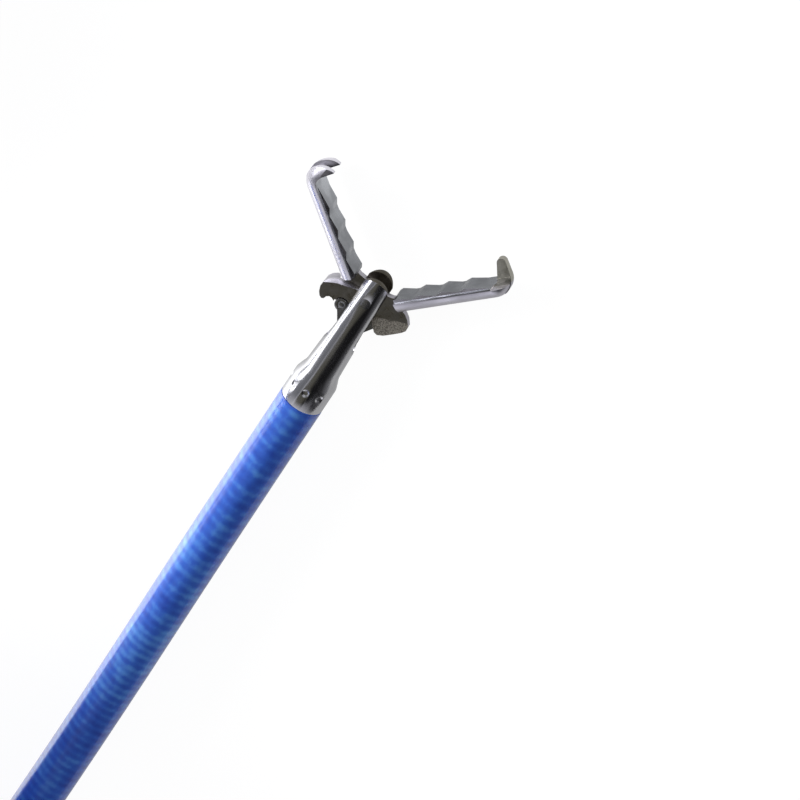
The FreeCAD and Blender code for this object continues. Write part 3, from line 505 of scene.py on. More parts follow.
housing = combined(housing, [
    prism([(-SLOT_BACK, -SLOT_HALF)] + [(EAR_REACH + 1, -SLOT_HALF), (EAR_REACH + 1, SLOT_HALF)]
          + arc(-SLOT_BACK, 0, SLOT_HALF, 90, 270, 12)[:-1], -2, 2, "Y"),
    turned_solid([(-COLLAR_BACK - 0.1, 0), (-COLLAR_BACK - 0.1, COLLAR_R - COLLAR_WALL),
                  (-COLLAR_FRONT, COLLAR_R - COLLAR_WALL), (-COLLAR_FRONT, BORE_R), (-SLOT_BACK, BORE_R),
                  (-SLOT_BACK, 0)], 48),
    disc(0, 0, PIN_R + 0.006, -1, 1),
] + [punch(360 * i / PUNCHES + PUNCH_TURN) for i in range(PUNCHES)], "DIFFERENCE")
housing.normal_update()
for face in housing.faces:
    centre = face.calc_center_median()
    milled = math.hypot(centre.y, centre.z) < 0.62 or abs(face.normal.x) > 0.25
    face.material_index = UNPOLISHED if centre.x > -SLOT_BACK and milled else POLISHED
piece = at_tip("clevis_housing_polished", rounded(housing, BROKEN_EDGE))
# Stainless steel, ground and polished lengthwise: near a mirror, with faint lines along it
polished = steel("polished stainless steel", "dcdcdf", 0.19, (0.3, 3.0, 3.0), 0.015)
# The same steel as milled, where no polishing wheel reaches: dull, brownish and spotted
unpolished = steel("stainless steel, unpolished ends", "6a6458", 0.40, (2.0, 2.0, 2.0), 0.5, 0.3)
for material in (polished, unpolished):
    piece.data.materials.append(material)
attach(piece, "forceps_body")
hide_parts("clevis_housing")


# Jaws: cast stainless, tumbled dull and then polished on their backs. Each is a half-round bar
# with saw teeth on its flat side and a hook at its end, and turns on a flat plate half as thick
# as the slot. One hook is split in two prongs, the other ends in one blunt tooth between them.
SHOULDER_Y, LAND_HALF, BODY_START = 0.20, 0.68, 1.42
FIRST_CREST, CRESTS, CREST_PITCH, CREST_RISE, CREST_DEPTH = 1.60, 4, 1.20, 0.40, 0.15
HUB_R, THIN_LOW = 0.70, -(PLATE_GAP + 0.19)
OPEN_DOUBLE, OPEN_SINGLE = 51.0, 44.0
RIVET_AT, RIVET_R, BOSS_R = 1.40, 0.17, 0.34
RUN_CLEAR = 0.015
PRONG_BEND_X, PRONG_BEND_Y, PRONG_ROUND_Y, PRONG_TIP_Y = 6.42, -0.25, -0.05, -0.86
TOOTH_BEND_X, TOOTH_BEND_Y, TOOTH_HALF, TOOTH_TIP_HALF = 6.53, -0.09, 0.26, 0.19
TOOTH_TIP_X, TOOTH_TIP_Y, TOOTH_TIP_R = 7.22, -0.83, 0.24
GAP_HALF, GAP_TOP, GAP_TIP_HALF = 0.31, 0.42, 0.45
SLANT_TIP_HALF, SLANT_FROM, SLANT_TO = 0.65, 6.4, 7.8
POCKET_FROM, POCKET_TO, POCKET_TOP = 0.27, 0.95, 0.30
BACK_STEPS, HOOK_STEPS = 22, 12


def hooked_back(hook_x, hook_y, straight):
    """Half-round back carried a quarter turn round (hook_x, hook_y) and straight on from there."""
    start = math.degrees(math.asin(SHOULDER_Y / JAW_R))
    section = [Vector((hook_x, y, z)) for z, y in arc(0, 0, JAW_R, start, 180 - start, BACK_STEPS)]
    centre = Vector((hook_x, hook_y, 0))
    rings = [[Vector((BODY_START, p.y, p.z)) for p in section]]
    for i in range(HOOK_STEPS + 1):
        bend = Matrix.Rotation(-math.pi / 2 * i / HOOK_STEPS, 3, "Z")
        rings.append([centre + bend @ (p - centre) for p in section])
    if straight:
        rings.append([p - Vector((0, straight, 0)) for p in rings[-1]])
    return lofted(rings)


def toothed_land(end_x):
    """The flat side's narrower land with its saw teeth, steep towards the pivot."""
    outline = [(BODY_START, SHOULDER_Y + 0.1), (BODY_START, CREST_DEPTH * 0.5)]
    for i in range(CRESTS):
        crest = FIRST_CREST + i * CREST_PITCH
        if i > 0:
            outline.append((crest - CREST_RISE, CREST_DEPTH))
        outline.append((crest, 0.0))
    return prism(outline + [(end_x, SHOULDER_Y), (end_x, SHOULDER_Y + 0.1)], -LAND_HALF, LAND_HALF)


# Plates seen along the pivot pin, with the pivot at (0, 0), the hook at +x and the tail at -x
NECK = [(0.0, HUB_R), (BODY_START, JAW_R - 0.03), (BODY_START + 0.40, JAW_R - 0.11),
        (BODY_START + 0.40, SHOULDER_Y), (BODY_START - 0.12, 0.05), (0.55, -0.43), (0.0, 0.0)]
TAIL = [(-0.30, -0.63), (-1.20, -1.30), (-1.45, -1.38), (-1.70, -1.40), (-1.95, -1.34), (-2.16, -1.17),
        (-2.30, -0.90), (-2.34, -0.68), (-2.30, -0.53), (-2.18, -0.49), (-2.02, -0.57), (-1.86, -0.55),
        (-1.76, -0.45), (-1.72, -0.30), (-RIVET_AT, 0.0), (0.0, 0.0)]
BROAD_TAIL = [(-0.30, -0.63), (-1.05, -1.36), (-1.30, -1.45), (-1.60, -1.45), (-1.95, -1.35), (-2.14, -1.14),
              (-2.17, -0.90), (-2.14, -0.45), (-2.09, 0.05), (-1.98, 0.36), (-1.80, 0.46), (-RIVET_AT, 0.40),
              (0.0, 0.0)]
WEB = [(-0.42, 0.50), (-RIVET_AT, BOSS_R - 0.02), (-RIVET_AT - BOSS_R + 0.02, 0.0), (-RIVET_AT, -BOSS_R),
       (0.0, 0.0)]
SWING = [(-RIVET_AT, -BOSS_R - 0.08), (-2.6, -BOSS_R - 0.08), (-2.6, 0.8), (-RIVET_AT + 0.26, 0.8),
         (-RIVET_AT + 0.26, 0.0)]
STEP = [(-1.07, 0.0), (-1.63, -1.14), (-1.9, -1.7), (-2.6, -1.7), (-2.6, 0.8), (-1.0, 0.8)]
HEEL = [(-1.33, -1.31), (-1.45, -1.36), (-1.70, -1.38), (-1.94, -1.322), (-2.143, -1.158), (-2.26, -0.95),
        (-2.1, -0.95), (-1.8, -1.02), (-1.35, -1.08)]
TAIL_CHAMFER, HEEL_DEPTH = 0.16, 0.62
TOOTH_FACES, PLATES, STEP_FACES, HOOK_FACES = 1, 2, 3, 4


def joined_outline(outlines):
    """The outer line of several flat outlines that overlap."""
    points, faces = [], []
    for outline in outlines:
        area = sum(a[0] * b[1] - b[0] * a[1] for a, b in zip(outline, outline[1:] + outline[:1]))
        outline = outline if area > 0 else outline[::-1]
        faces.append(list(range(len(points), len(points) + len(outline))))
        points += [Vector(point) for point in outline]
    points, _, triangles = geometry.delaunay_2d_cdt(points, [], faces, 1, 1e-4)[:3]
    bm = bmesh.new()
    verts = [bm.verts.new((*point, 0)) for point in points]
    for triangle in triangles:
        bm.faces.new([verts[i] for i in triangle])
    whole = bmesh.ops.dissolve_faces(bm, faces=bm.faces[:])["region"][0]
    line = [vert.co.xy.copy() for vert in whole.verts]
    bm.free()
    kept = []
    for before, point, after in zip([line[-1]] + line[:-1], line, line[1:] + line[:1]):
        far = (point - (kept[-1] if kept else before)).length > 0.012
        if far and abs((point - before).cross(after - point)) > 1e-6:
            kept.append(point)
    return [tuple(point) for point in kept]


def jaw(back, end_x, tail, cuts, extra=(), chamfer=0.0):
    """Back, land and plate joined in one, with the cuts taken out. Tooth faces and plates are marked."""
    plate = prism(joined_outline([NECK, tail, WEB, arc(0, 0, HUB_R, 0, 360, 60)[:-1],
                                  arc(-RIVET_AT, 0, BOSS_R, 0, 360, 36)[:-1]]), PLATE_LOW, PLATE_HIGH)
    if chamfer:
        middles = [(edge, (edge.verts[0].co + edge.verts[1].co) / 2) for edge in plate.edges]
        front = [edge for edge, at in middles
                 if at.z < PLATE_LOW + 0.01 and at.y < -0.9 and -1.72 < at.x < -0.6]
        bmesh.ops.bevel(plate, geom=front, offset=chamfer, offset_type="OFFSET", affect="EDGES", segments=1,
                        profile=0.5, material=-1)
    body = combined(back, [toothed_land(end_x), plate] + list(extra), "UNION")
    holes = [disc(-RIVET_AT, 0, BOSS_R + 0.08, PLATE_LOW - 0.1, THIN_LOW),
             disc(0, 0, PIN_R + RUN_CLEAR, PLATE_LOW - 0.1, PLATE_HIGH + 0.1)]
    body = combined(body, holes + list(cuts), "DIFFERENCE")
    body.normal_update()
    for face in body.faces:
        at, way = face.calc_center_median(), face.normal
        on_land = BODY_START - 0.05 < at.x < end_x + 0.3 and at.y < SHOULDER_Y + 0.01
        on_plate = abs(way.z) > 0.9 or math.hypot(at.x, at.y) < 0.8
        if on_land and way.y < -0.3:
            face.material_index = TOOTH_FACES
        elif at.x < BODY_START - 0.2 and on_plate:
            stepped = way.z > 0.9 and at.z < PLATE_HIGH - 0.03 and at.x < -1.0
            face.material_index = STEP_FACES if stepped else PLATES
        elif at.x > end_x + 0.3 and at.y < SHOULDER_Y and end_x == TOOTH_BEND_X:
            face.material_index = HOOK_FACES
    return body


prongs = hooked_back(PRONG_BEND_X, PRONG_BEND_Y, PRONG_BEND_Y - PRONG_TIP_Y)
profile = [(0, 0), (0, 1.1), (PRONG_BEND_X, 1.1), (PRONG_BEND_X, JAW_R)] \
    + arc(PRONG_BEND_X, PRONG_ROUND_Y, JAW_R - PRONG_ROUND_Y, 90, -80, 34)[1:] \
    + [(PRONG_BEND_X, -1.1), (PRONG_BEND_X, 0)]
prongs = combined(prongs, [prism(profile, -1, 1)], "INTERSECT")
past_y = PRONG_TIP_Y - 0.1
gap = [(GAP_TOP, -GAP_HALF), (GAP_TOP, GAP_HALF), (PRONG_BEND_Y, GAP_HALF), (past_y, GAP_TIP_HALF),
       (past_y, -GAP_TIP_HALF), (PRONG_BEND_Y, -GAP_HALF)]
slants = []
for side in (1, -1):
    slant = [(PRONG_BEND_Y, side * (JAW_R - 0.05)), (PRONG_BEND_Y, side * 1.2), (past_y, side * 1.2),
             (past_y, side * SLANT_TIP_HALF)]
    slants.append(prism(slant[::side], SLANT_FROM, SLANT_TO, "X"))
inner_x = PRONG_BEND_X + SHOULDER_Y - PRONG_BEND_Y
double = jaw(prongs, PRONG_BEND_X, BROAD_TAIL,
             [prism(gap, inner_x - 0.25, inner_x + 1.2, "X"), prism(STEP, PLATE_HIGH - 0.05, 0.2),
              prism(SWING, PLATE_LOW - 0.1, THIN_LOW)] + slants)
piece = at_tip("jaw_with_prongs", rounded(double, BROKEN_EDGE), OPEN_DOUBLE)
# Cast stainless steel by its finishes: soft polish on the backs, cut and clean on the teeth,
# tarnished on the plates, grit blasted and almost white on the step, satin on the blunt hook
JAW_STEELS = [steel("stainless steel, polished jaw backs", "d8d6de", 0.32, (0.8, 0.8, 0.8), 0.02, 0.05),
              steel("stainless steel, cut tooth faces", "a8abb0", 0.32, (1.0, 1.0, 1.0), 0.35, 0.2),
              steel("stainless steel, tarnished plates", "a09c92", 0.36, (3.0, 3.0, 3.0), 0.5, 0.3),
              steel("stainless steel, blasted step", "d8d2c4", 0.62, (16.0, 16.0, 16.0), 0.8, 0.45),
              steel("stainless steel, satin hook", "d0cec2", 0.46, (2.0, 2.0, 2.0), 0.25, 0.15)]
for material in JAW_STEELS:
    piece.data.materials.append(material)
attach(piece, "double_jaw")
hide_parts("jaw_double_tooth")

hook = hooked_back(TOOTH_BEND_X, TOOTH_BEND_Y, 0.0)
outer_x = TOOTH_BEND_X + JAW_R - TOOTH_BEND_Y
inner_x = TOOTH_BEND_X + SHOULDER_Y - TOOTH_BEND_Y
tooth = prism([(inner_x - 0.3, SHOULDER_Y), (inner_x, SHOULDER_Y), (inner_x, TOOTH_BEND_Y)]
              + arc(TOOTH_TIP_X, TOOTH_TIP_Y, TOOTH_TIP_R, 180, 360, 12)
              + arc(TOOTH_BEND_X, TOOTH_BEND_Y, JAW_R - TOOTH_BEND_Y, 0, 60, 10), -TOOTH_HALF, TOOTH_HALF)
tip_y = TOOTH_TIP_Y - TOOTH_TIP_R
taper = prism([(1.2, -TOOTH_HALF), (SHOULDER_Y, -TOOTH_HALF), (tip_y, -TOOTH_TIP_HALF),
               (tip_y, TOOTH_TIP_HALF), (SHOULDER_Y, TOOTH_HALF), (1.2, TOOTH_HALF)],
              inner_x - 1.0, outer_x + 0.1, "X")
tooth = combined(tooth, [taper], "INTERSECT")
pockets = [block(TOOTH_BEND_X, outer_x + 0.1, TOOTH_BEND_Y - 0.1, POCKET_TOP,
                 *sorted((side * POCKET_FROM, side * POCKET_TO))) for side in (1, -1)]
hook = combined(hook, pockets, "DIFFERENCE")
heel = rounded(prism(HEEL, PLATE_LOW + TAIL_CHAMFER + 0.01, HEEL_DEPTH), 0.12, 30, 3)
single = jaw(hook, TOOTH_BEND_X, TAIL, [], [tooth, heel], TAIL_CHAMFER)
piece = at_tip("jaw_with_single_tooth", rounded(single, BROKEN_EDGE), -OPEN_SINGLE, True)
for material in JAW_STEELS:
    piece.data.materials.append(material)
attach(piece, "single_jaw")
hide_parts("jaw_single_tooth")


# Pivot pin: stainless wire, peened in the ears and ground flush with their round.
ears_round = turned_solid([(-0.5, 0), (-0.5, EAR_R + 0.004), (0.5, EAR_R + 0.004), (0.5, 0)])
pin = combined(disc(0, 0, PIN_R, -1, 1), [ears_round], "INTERSECT")
piece = at_tip("pivot_pin_flush", pin)
# Stainless steel, ground: grey satin, for the small parts
plain_steel = steel("stainless steel, ground", "b2b3b6", 0.24, (0.6, 2.0, 2.0), 0.15)
piece.data.materials.append(plain_steel)
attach(piece, "forceps_body")
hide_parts("jaw_pivot_pin")


# Links and rivets: strips blanked from stainless sheet, each riveted under its jaw's tail and
# hung on the pull wire's head.
LINK_LENGTH, LINK_HALF, LINK_EYE_R, LINK_BORE_R, DRAW_X = 2.00, 0.20, 0.40, 0.27, -2.657
LINK_LOW, LINK_HIGH = PLATE_LOW + 0.01, PLATE_LOW + 0.17
LINK_EDGE, RIVET_EDGE = 0.02, 0.03
for name, degrees, flip in (("double", OPEN_DOUBLE, False), ("single", -OPEN_SINGLE, True)):
    rivet_x = -RIVET_AT * math.cos(math.radians(degrees))
    rivet_y = -RIVET_AT * math.sin(math.radians(degrees))
    lean = math.degrees(math.atan2(rivet_y, rivet_x - DRAW_X))
    strip = combined(disc(0, 0, BOSS_R, LINK_LOW, LINK_HIGH), [
        block(-LINK_LENGTH, 0, -LINK_HALF, LINK_HALF, LINK_LOW, LINK_HIGH),
        disc(-LINK_LENGTH, 0, LINK_EYE_R, LINK_LOW, LINK_HIGH)], "UNION")
    holes = [disc(0, 0, RIVET_R, -1, 1), disc(-LINK_LENGTH, 0, LINK_BORE_R, -1, 1)]
    strip = combined(strip, holes, "DIFFERENCE")
    piece = at_tip("link_to_" + name + "_jaw", rounded(strip, LINK_EDGE), lean, flip, (rivet_x, rivet_y))
    piece.data.materials.append(plain_steel)
    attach(piece, name + "_link")
    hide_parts("link_" + name)
    rivet = rounded(disc(0, 0, RIVET_R, LINK_LOW, THIN_LOW + 0.02), RIVET_EDGE)
    piece = at_tip("rivet_of_" + name + "_jaw", rivet, degrees, flip, (rivet_x, rivet_y))
    piece.data.materials.append(plain_steel)
    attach(piece, name + "_link")
    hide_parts("rivet_" + name)
# Inside the housing the parts keep their CAD forms
for node in ("draw_head", "draw_pin", "pull_wire_tip", "sheath_coil_end"):
    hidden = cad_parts[node]
    hidden.data.materials.clear()
    hidden.data.materials.append(plain_steel)


# Coil ties: two white woven straps, each once round the bundle with its end lapped over and
# sewn down with thread. Lofted round the bundle's outline, with the weave in their own UV map.
TIE_T, TIE_WIDE, TIE_CLEAR, TIE_DEGREES, TIE_LAP = 0.35, 4.0, 0.05, 16.0, 2.6
THREAD_ACROSS, THREAD_ALONG = 0.36, 0.42
LAP_START, LAP_RISE, LAP_CLEAR = 2.4, 2.2, 0.03
STITCHES, STITCH_STEP, STITCH_HALVES = 5, 0.18, (0.09, 0.26, 0.05)
STITCH_ROWS = (TIE_LAP - 0.5, TIE_LAP - 1.9)
BUNDLE_CORNER_R = 1.1
# The strap's section with its edges broken: shares of its half width, and millimetres of thickness
BAND = [(-1.0, 0.06), (-0.96, 0.0), (0.96, 0.0), (1.0, 0.06), (1.0, 0.29), (0.96, TIE_T), (-0.96, TIE_T),
        (-1.0, 0.29)]
bundle_half = (0.5 * (COIL_RINGS - 1) * SHEATH_PITCH + SHEATH_R) / MM
bundle_high = (COIL_Z + (COIL_LAYERS - 1) * SHEATH_PITCH + SHEATH_R) / MM


def rounded_box(wide, high, radius, steps):
    """A rectangle with round corners about (0, 0), as points with even turns, from its top middle."""
    points = [(0.0, high / 2)]
    for x, y, start in ((1, 1, 90), (1, -1, 0), (-1, -1, -90), (-1, 1, -180)):
        points += arc(x * (wide / 2 - radius), y * (high / 2 - radius), radius, start, start - 90, steps)
    return points


def measured(points):
    """How far along an open line each of its points is."""
    run = [0.0]
    for a, b in zip(points, points[1:]):
        run.append(run[-1] + math.hypot(b[0] - a[0], b[1] - a[1]))
    return run


# Woven white polyester: threads that go over and under in a plain weave, matt and a little fuzzy, with
# painted shade where the threads dip under
weave, tree = blank_material("woven white polyester strap")
uv = add(tree, "SeparateXYZ", {0: add(tree, "UVMap").outputs[0]})
across = add(tree, "Math", {0: uv.outputs["X"], 1: len(BAND) * TIE_WIDE / THREAD_ACROSS * math.pi},
             operation="MULTIPLY")
onward = add(tree, "Math", {0: uv.outputs["Y"], 1: math.pi / (THREAD_ALONG * MM)}, operation="MULTIPLY")
weft = add(tree, "Math", {0: across.outputs[0]}, operation="SINE")
warp = add(tree, "Math", {0: onward.outputs[0]}, operation="SINE")
cross = add(tree, "Math", {0: weft.outputs[0], 1: warp.outputs[0]}, operation="MULTIPLY")
place = add(tree, "TexCoord")
fuzz = add(tree, "TexNoise", {"Vector": place.outputs["Object"], "Scale": 3000.0, "Detail": 3.0})
thread = add(tree, "Math", {0: fuzz.outputs[0], 1: 0.8, 2: cross.outputs[0]}, operation="MULTIPLY_ADD")
# Painted shade: the strap is greyer where its threads run low in the weave, with the fuzz as a random tone on
# top
shade = add(tree, "MapRange", {"Value": thread.outputs[0], "From Min": -0.6, "From Max": 1.2})
tint = add(tree, "Mix", {0: shade.outputs[0], 6: colour("b4b6ba"), 7: colour("f2f2f0")}, data_type="RGBA")
raised = add(tree, "Bump", {"Height": thread.outputs[0], "Strength": 0.8, "Distance": 0.06 * MM})
shader = add(tree, "BsdfPrincipled", {"Base Color": tint.outputs[2], "Roughness": 0.85, "Sheen Weight": 0.3,
                                      "Normal": raised.outputs[0]})
add(tree, "OutputMaterial", {"Surface": shader.outputs[0]})

for name, angle in (("left", 130.0), ("right", -20.0)):
    loop = rounded_box(2 * (bundle_half + TIE_CLEAR), bundle_high - BUNDLE_LOW + 2 * TIE_CLEAR,
                       BUNDLE_CORNER_R + TIE_CLEAR, 8)
    round_once = measured(loop + loop[:1])[-1]
    line = loop + loop[:1] + [(x, loop[0][1]) for x in (0.5, 1.0, 1.5, 2.0, TIE_LAP)]
    run = measured(line)
    rings, centres = [], []
    for i, ((r, z), far) in enumerate(zip(line, run)):
        a, b = line[max(i - 1, 0)], line[min(i + 1, len(line) - 1)]
        slope = Vector((b[0] - a[0], b[1] - a[1])).normalized()
        out = Vector((-slope.y, slope.x))
        lift = (TIE_T + LAP_CLEAR) * smooth((far - round_once + LAP_START) / LAP_RISE)
        ring = []
        for u, t in BAND:
            place = Vector((r, z)) + out * (t + lift)
            turn = math.radians(angle + u * TIE_DEGREES / 2)
            radius = BUNDLE_MIDDLE_R + place.x
            ring.append(Vector((COIL_X + radius * MM * math.cos(turn), COIL_Y + radius * MM * math.sin(turn),
                                (place.y + (BUNDLE_LOW + bundle_high) / 2) * MM)))
        rings.append(ring)
        centres.append(sum(ring, Vector()) / len(ring))
    mesh = shaded_mesh("coil_tie_woven_" + name, lofted(rings))
    measured_uv(mesh, centres, len(BAND))
    mesh.materials.append(weave)
    piece = shown("coil_tie_woven_" + name, mesh)
    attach(piece, "forceps_body")
    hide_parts("coil_tie_" + name)

    stitches = bmesh.new()
    top = (bundle_high + TIE_CLEAR + 2 * TIE_T + 0.05) * MM
    for row in STITCH_ROWS:
        for i in range(STITCHES):
            turn = math.radians(angle + (i - STITCHES // 2) * STITCH_STEP * TIE_DEGREES)
            radius = (BUNDLE_MIDDLE_R + row) * MM
            at = Matrix.Translation((COIL_X + radius * math.cos(turn), COIL_Y + radius * math.sin(turn), top))
            shape = Matrix.Diagonal((*(half * MM for half in STITCH_HALVES), 1))
            place = at @ Matrix.Rotation(turn, 4, "Z") @ shape
            bmesh.ops.create_uvsphere(stitches, u_segments=10, v_segments=6, radius=1.0, matrix=place)
    mesh = shaded_mesh("tie_stitches_" + name, stitches, 180.0)
    mesh.materials.append(weave)
    piece = shown("tie_stitches_" + name, mesh)
    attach(piece, "forceps_body")


# Strain relief: a black elastomer sleeve on the sheath, tapered and grooved so that it bends
# evenly. Turned in one, with its grooves' edges broken.
HANDLE = Vector((0.0, 9.715, 4.5)) * MM
NOSE_TIP_X, NOSE_BACK_X, RING_X, SLIDER_X = -57.0, -45.0, 58.0, -27.0
RELIEF_LENGTH, RELIEF_TIP_R, RELIEF_BASE_R, RELIEF_RIBS, RELIEF_GROOVE = 18.0, 1.90, 3.10, 7, 0.35
SHEATH_BORE_R = 1.17


def at_handle(name, bm, body, node, material):
    """A handle piece from millimetres about the handle's axis to its place, with its records."""
    piece = placed(name, bm, Matrix.Translation(HANDLE))
    piece.data.materials.append(material)
    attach(piece, body)
    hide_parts(node)


def moulded(name, light, dark, roughness, grain_mm, bump, soft=0.1):
    """Moulded plastic: fine spark-eroded grain, slow colour drift, rubbed and paler edges, scuffs."""
    material, tree = blank_material(name)
    place = add(tree, "TexCoord").outputs["Object"]
    grain = add(tree, "TexNoise", {"Vector": place, "Scale": 1000.0 / grain_mm, "Detail": 2.0})
    drift = add(tree, "TexNoise", {"Vector": place, "Scale": 45.0, "Detail": 3.0})
    long_way = add(tree, "Mapping", {"Vector": place, "Scale": (0.25, 1.0, 1.0), "Rotation": (0.0, 0.0, 0.4)})
    scuff = add(tree, "TexNoise", {"Vector": long_way.outputs[0], "Scale": 900.0, "Detail": 5.0,
                                   "Roughness": 0.7})
    worn = add(tree, "MapRange", {"Value": scuff.outputs[0], "From Min": 0.58, "From Max": 0.72})
    edge = add(tree, "MapRange", {"Value": add(tree, "NewGeometry").outputs["Pointiness"], "From Min": 0.52,
                                  "From Max": 0.60, "To Max": 0.35})
    tint = add(tree, "Mix", {0: drift.outputs[0], 6: colour(dark), 7: colour(light)}, data_type="RGBA")
    rubbed = add(tree, "Math", {0: worn.outputs[0], 1: 0.12, 2: edge.outputs[0]}, operation="MULTIPLY_ADD")
    paler = add(tree, "Mix", {0: rubbed.outputs[0], 6: tint.outputs[2], 7: colour("f4f5f6")},
                data_type="RGBA")
    gloss = add(tree, "MapRange", {"Value": rubbed.outputs[0], "To Min": roughness,
                                   "To Max": roughness + 0.18})
    raised = add(tree, "Bump", {"Height": grain.outputs[0], "Strength": bump, "Distance": 0.02 * MM})
    shader = add(tree, "BsdfPrincipled", {
        "Base Color": paler.outputs[2], "Roughness": gloss.outputs[0], "IOR": 1.5,
        "Normal": raised.outputs[0], "Subsurface Weight": soft, "Subsurface Radius": (0.001, 0.001, 0.001),
        "Subsurface Scale": 0.5})
    add(tree, "OutputMaterial", {"Surface": shader.outputs[0]})
    return material


# White ABS, fine satin from the mould, slightly warm
white_plastic = moulded("white moulded plastic", "eceded", "dcdedf", 0.34, 0.20, 0.35)
# Blue ABS of the same mould finish, a little deeper than the sheath's blue
blue_plastic = moulded("blue moulded plastic", "2b5fc2", "2350ac", 0.32, 0.20, 0.35)
# Soft elastomer, near black and dull
elastomer = moulded("black elastomer", "2c2f33", "232629", 0.58, 0.12, 0.6, 0.0)

relief_tip = NOSE_TIP_X - RELIEF_LENGTH
profile = [(relief_tip, SHEATH_BORE_R), (relief_tip, RELIEF_TIP_R - 0.3),
           (relief_tip + 0.09, RELIEF_TIP_R - 0.09), (relief_tip + 0.3, RELIEF_TIP_R)]
rib_step = (RELIEF_LENGTH - 3.0) / RELIEF_RIBS
for i in range(RELIEF_RIBS):
    for part, depth in ((-0.03, 0.0), (0.0, 0.05), (0.03, 0.3), (0.07, RELIEF_GROOVE), (0.33, RELIEF_GROOVE),
                        (0.37, 0.3), (0.40, 0.05), (0.43, 0.0)):
        x = relief_tip + 2.0 + (i + part) * rib_step
        radius = RELIEF_TIP_R + (RELIEF_BASE_R - RELIEF_TIP_R) * (x - relief_tip) / RELIEF_LENGTH
        profile.append((x, radius - depth))
profile += [(NOSE_TIP_X - 0.15, RELIEF_BASE_R), (NOSE_TIP_X, RELIEF_BASE_R - 0.1),
            (NOSE_TIP_X, SHEATH_BORE_R), (relief_tip, SHEATH_BORE_R)]
at_handle("strain_relief_grooved", turned_solid(profile, 48), "forceps_body", "strain_relief",
          elastomer)


# Nose cap: blue moulded cap, screwed on the handle's spigot, fluted for the fingers.
NOSE_R, NOSE_SKIN, NOSE_FLUTES, NOSE_FLUTE_R = 4.5, 1.3, 14, 0.55
SPIGOT_R = NOSE_R - NOSE_SKIN
cap = turned_solid([
    (NOSE_TIP_X, SHEATH_BORE_R), (NOSE_TIP_X, NOSE_R - 0.9), (NOSE_TIP_X + 0.12, NOSE_R - 0.55),
    (NOSE_TIP_X + 0.45, NOSE_R - 0.16), (NOSE_TIP_X + 0.9, NOSE_R), (NOSE_BACK_X - 0.4, NOSE_R),
    (NOSE_BACK_X - 0.12, NOSE_R - 0.12), (NOSE_BACK_X - 0.02, NOSE_R - 0.4),
    (NOSE_BACK_X - 0.02, SPIGOT_R + 0.05), (NOSE_TIP_X + NOSE_SKIN, SPIGOT_R + 0.05),
    (NOSE_TIP_X + NOSE_SKIN, SHEATH_BORE_R), (NOSE_TIP_X, SHEATH_BORE_R)], 84)
flutes = []
for i in range(NOSE_FLUTES):
    angle = 2 * math.pi * (i + 0.5) / NOSE_FLUTES
    flute = arc((NOSE_R + 0.2) * math.cos(angle), (NOSE_R + 0.2) * math.sin(angle), NOSE_FLUTE_R, 0, 360, 20)
    flutes.append(prism(flute[:-1], NOSE_TIP_X + 2.0, NOSE_BACK_X + 1, "X"))
cap = rounded(combined(cap, flutes, "DIFFERENCE"), 0.12, 32)
at_handle("nose_cap_fluted", cap, "forceps_body", "nose_cap", blue_plastic)


# Handle: white moulded shaft with a slot for the wire block and a thumb ring at its end. The
# mould's parting line stands out a little round the ring.
SHAFT_WIDE, SHAFT_THICK, SHAFT_ROUND, FLANGE_R = 10.0, 6.8, 2.2, 4.4
RING_R, RING_HOLE_R, RING_THICK, RING_ROUND, NECK_FLARE = 17.0, 12.0, 9.0, 2.0, 9.0
SLOT_WIDE, SLOT_FRONT_X, SLOT_END_X, WIRE_BORE_R = 3.4, -40.0, 26.0, 0.75
PARTING_HALF, PARTING_HIGH = 0.10, 0.07
MOULDED_EDGE, MOULDED_SHARP = 0.3, 44


def finger_ring(x, y, radius, hole, thick, rounding, steps=112):
    """A flat ring with round corners and a fine parting line half-way up, inside and outside."""
    section = []
    for px, pz in rounded_box(radius - hole, thick, rounding, 6):
        if section and section[-1][1] * pz < 0:
            side = 1 if px > 0 else -1
            section += [(px, PARTING_HALF * side), (px + PARTING_HIGH * side, 0.0),
                        (px, -PARTING_HALF * side)]
        section.append((px, pz))
    middle = (radius + hole) / 2
    rings = []
    for i in range(steps):
        turn = 2 * math.pi * i / steps
        rings.append([Vector((x + (middle + r) * math.cos(turn), y + (middle + r) * math.sin(turn), z))
                      for r, z in section])
    return lofted(rings, closed=True)


neck_x = RING_X - RING_HOLE_R - 1
flare = [(neck_x - NECK_FLARE - 6, SHAFT_WIDE / 2), (neck_x - 6, SHAFT_WIDE / 2 + 1.2),
         (neck_x + 1.2, RING_HOLE_R - 2.6), (neck_x + 2.4, RING_HOLE_R - 1.0)]
hollow = arc(RING_X, 0, RING_HOLE_R + 2.2, 141, 219, 14)
front_x = NOSE_BACK_X + 1.0
plan = [(front_x, -SHAFT_WIDE / 2), (front_x, SHAFT_WIDE / 2)] + flare + hollow \
    + [(x, -y) for x, y in reversed(flare)]
shaft = prism(plan, -SHAFT_THICK / 2, SHAFT_THICK / 2)
around = []
for edge in shaft.edges:
    a, b = (vert.co for vert in edge.verts)
    at_front = abs(a.x - front_x) < 0.01 and abs(b.x - front_x) < 0.01
    if abs(a.z - b.z) < 0.01 and not at_front and (a.x + b.x) / 2 < neck_x + 2.0:
        around.append(edge)
bmesh.ops.bevel(shaft, geom=around, offset=SHAFT_ROUND, offset_type="OFFSET", affect="EDGES", segments=6,
                profile=0.5, material=-1, clamp_overlap=True)
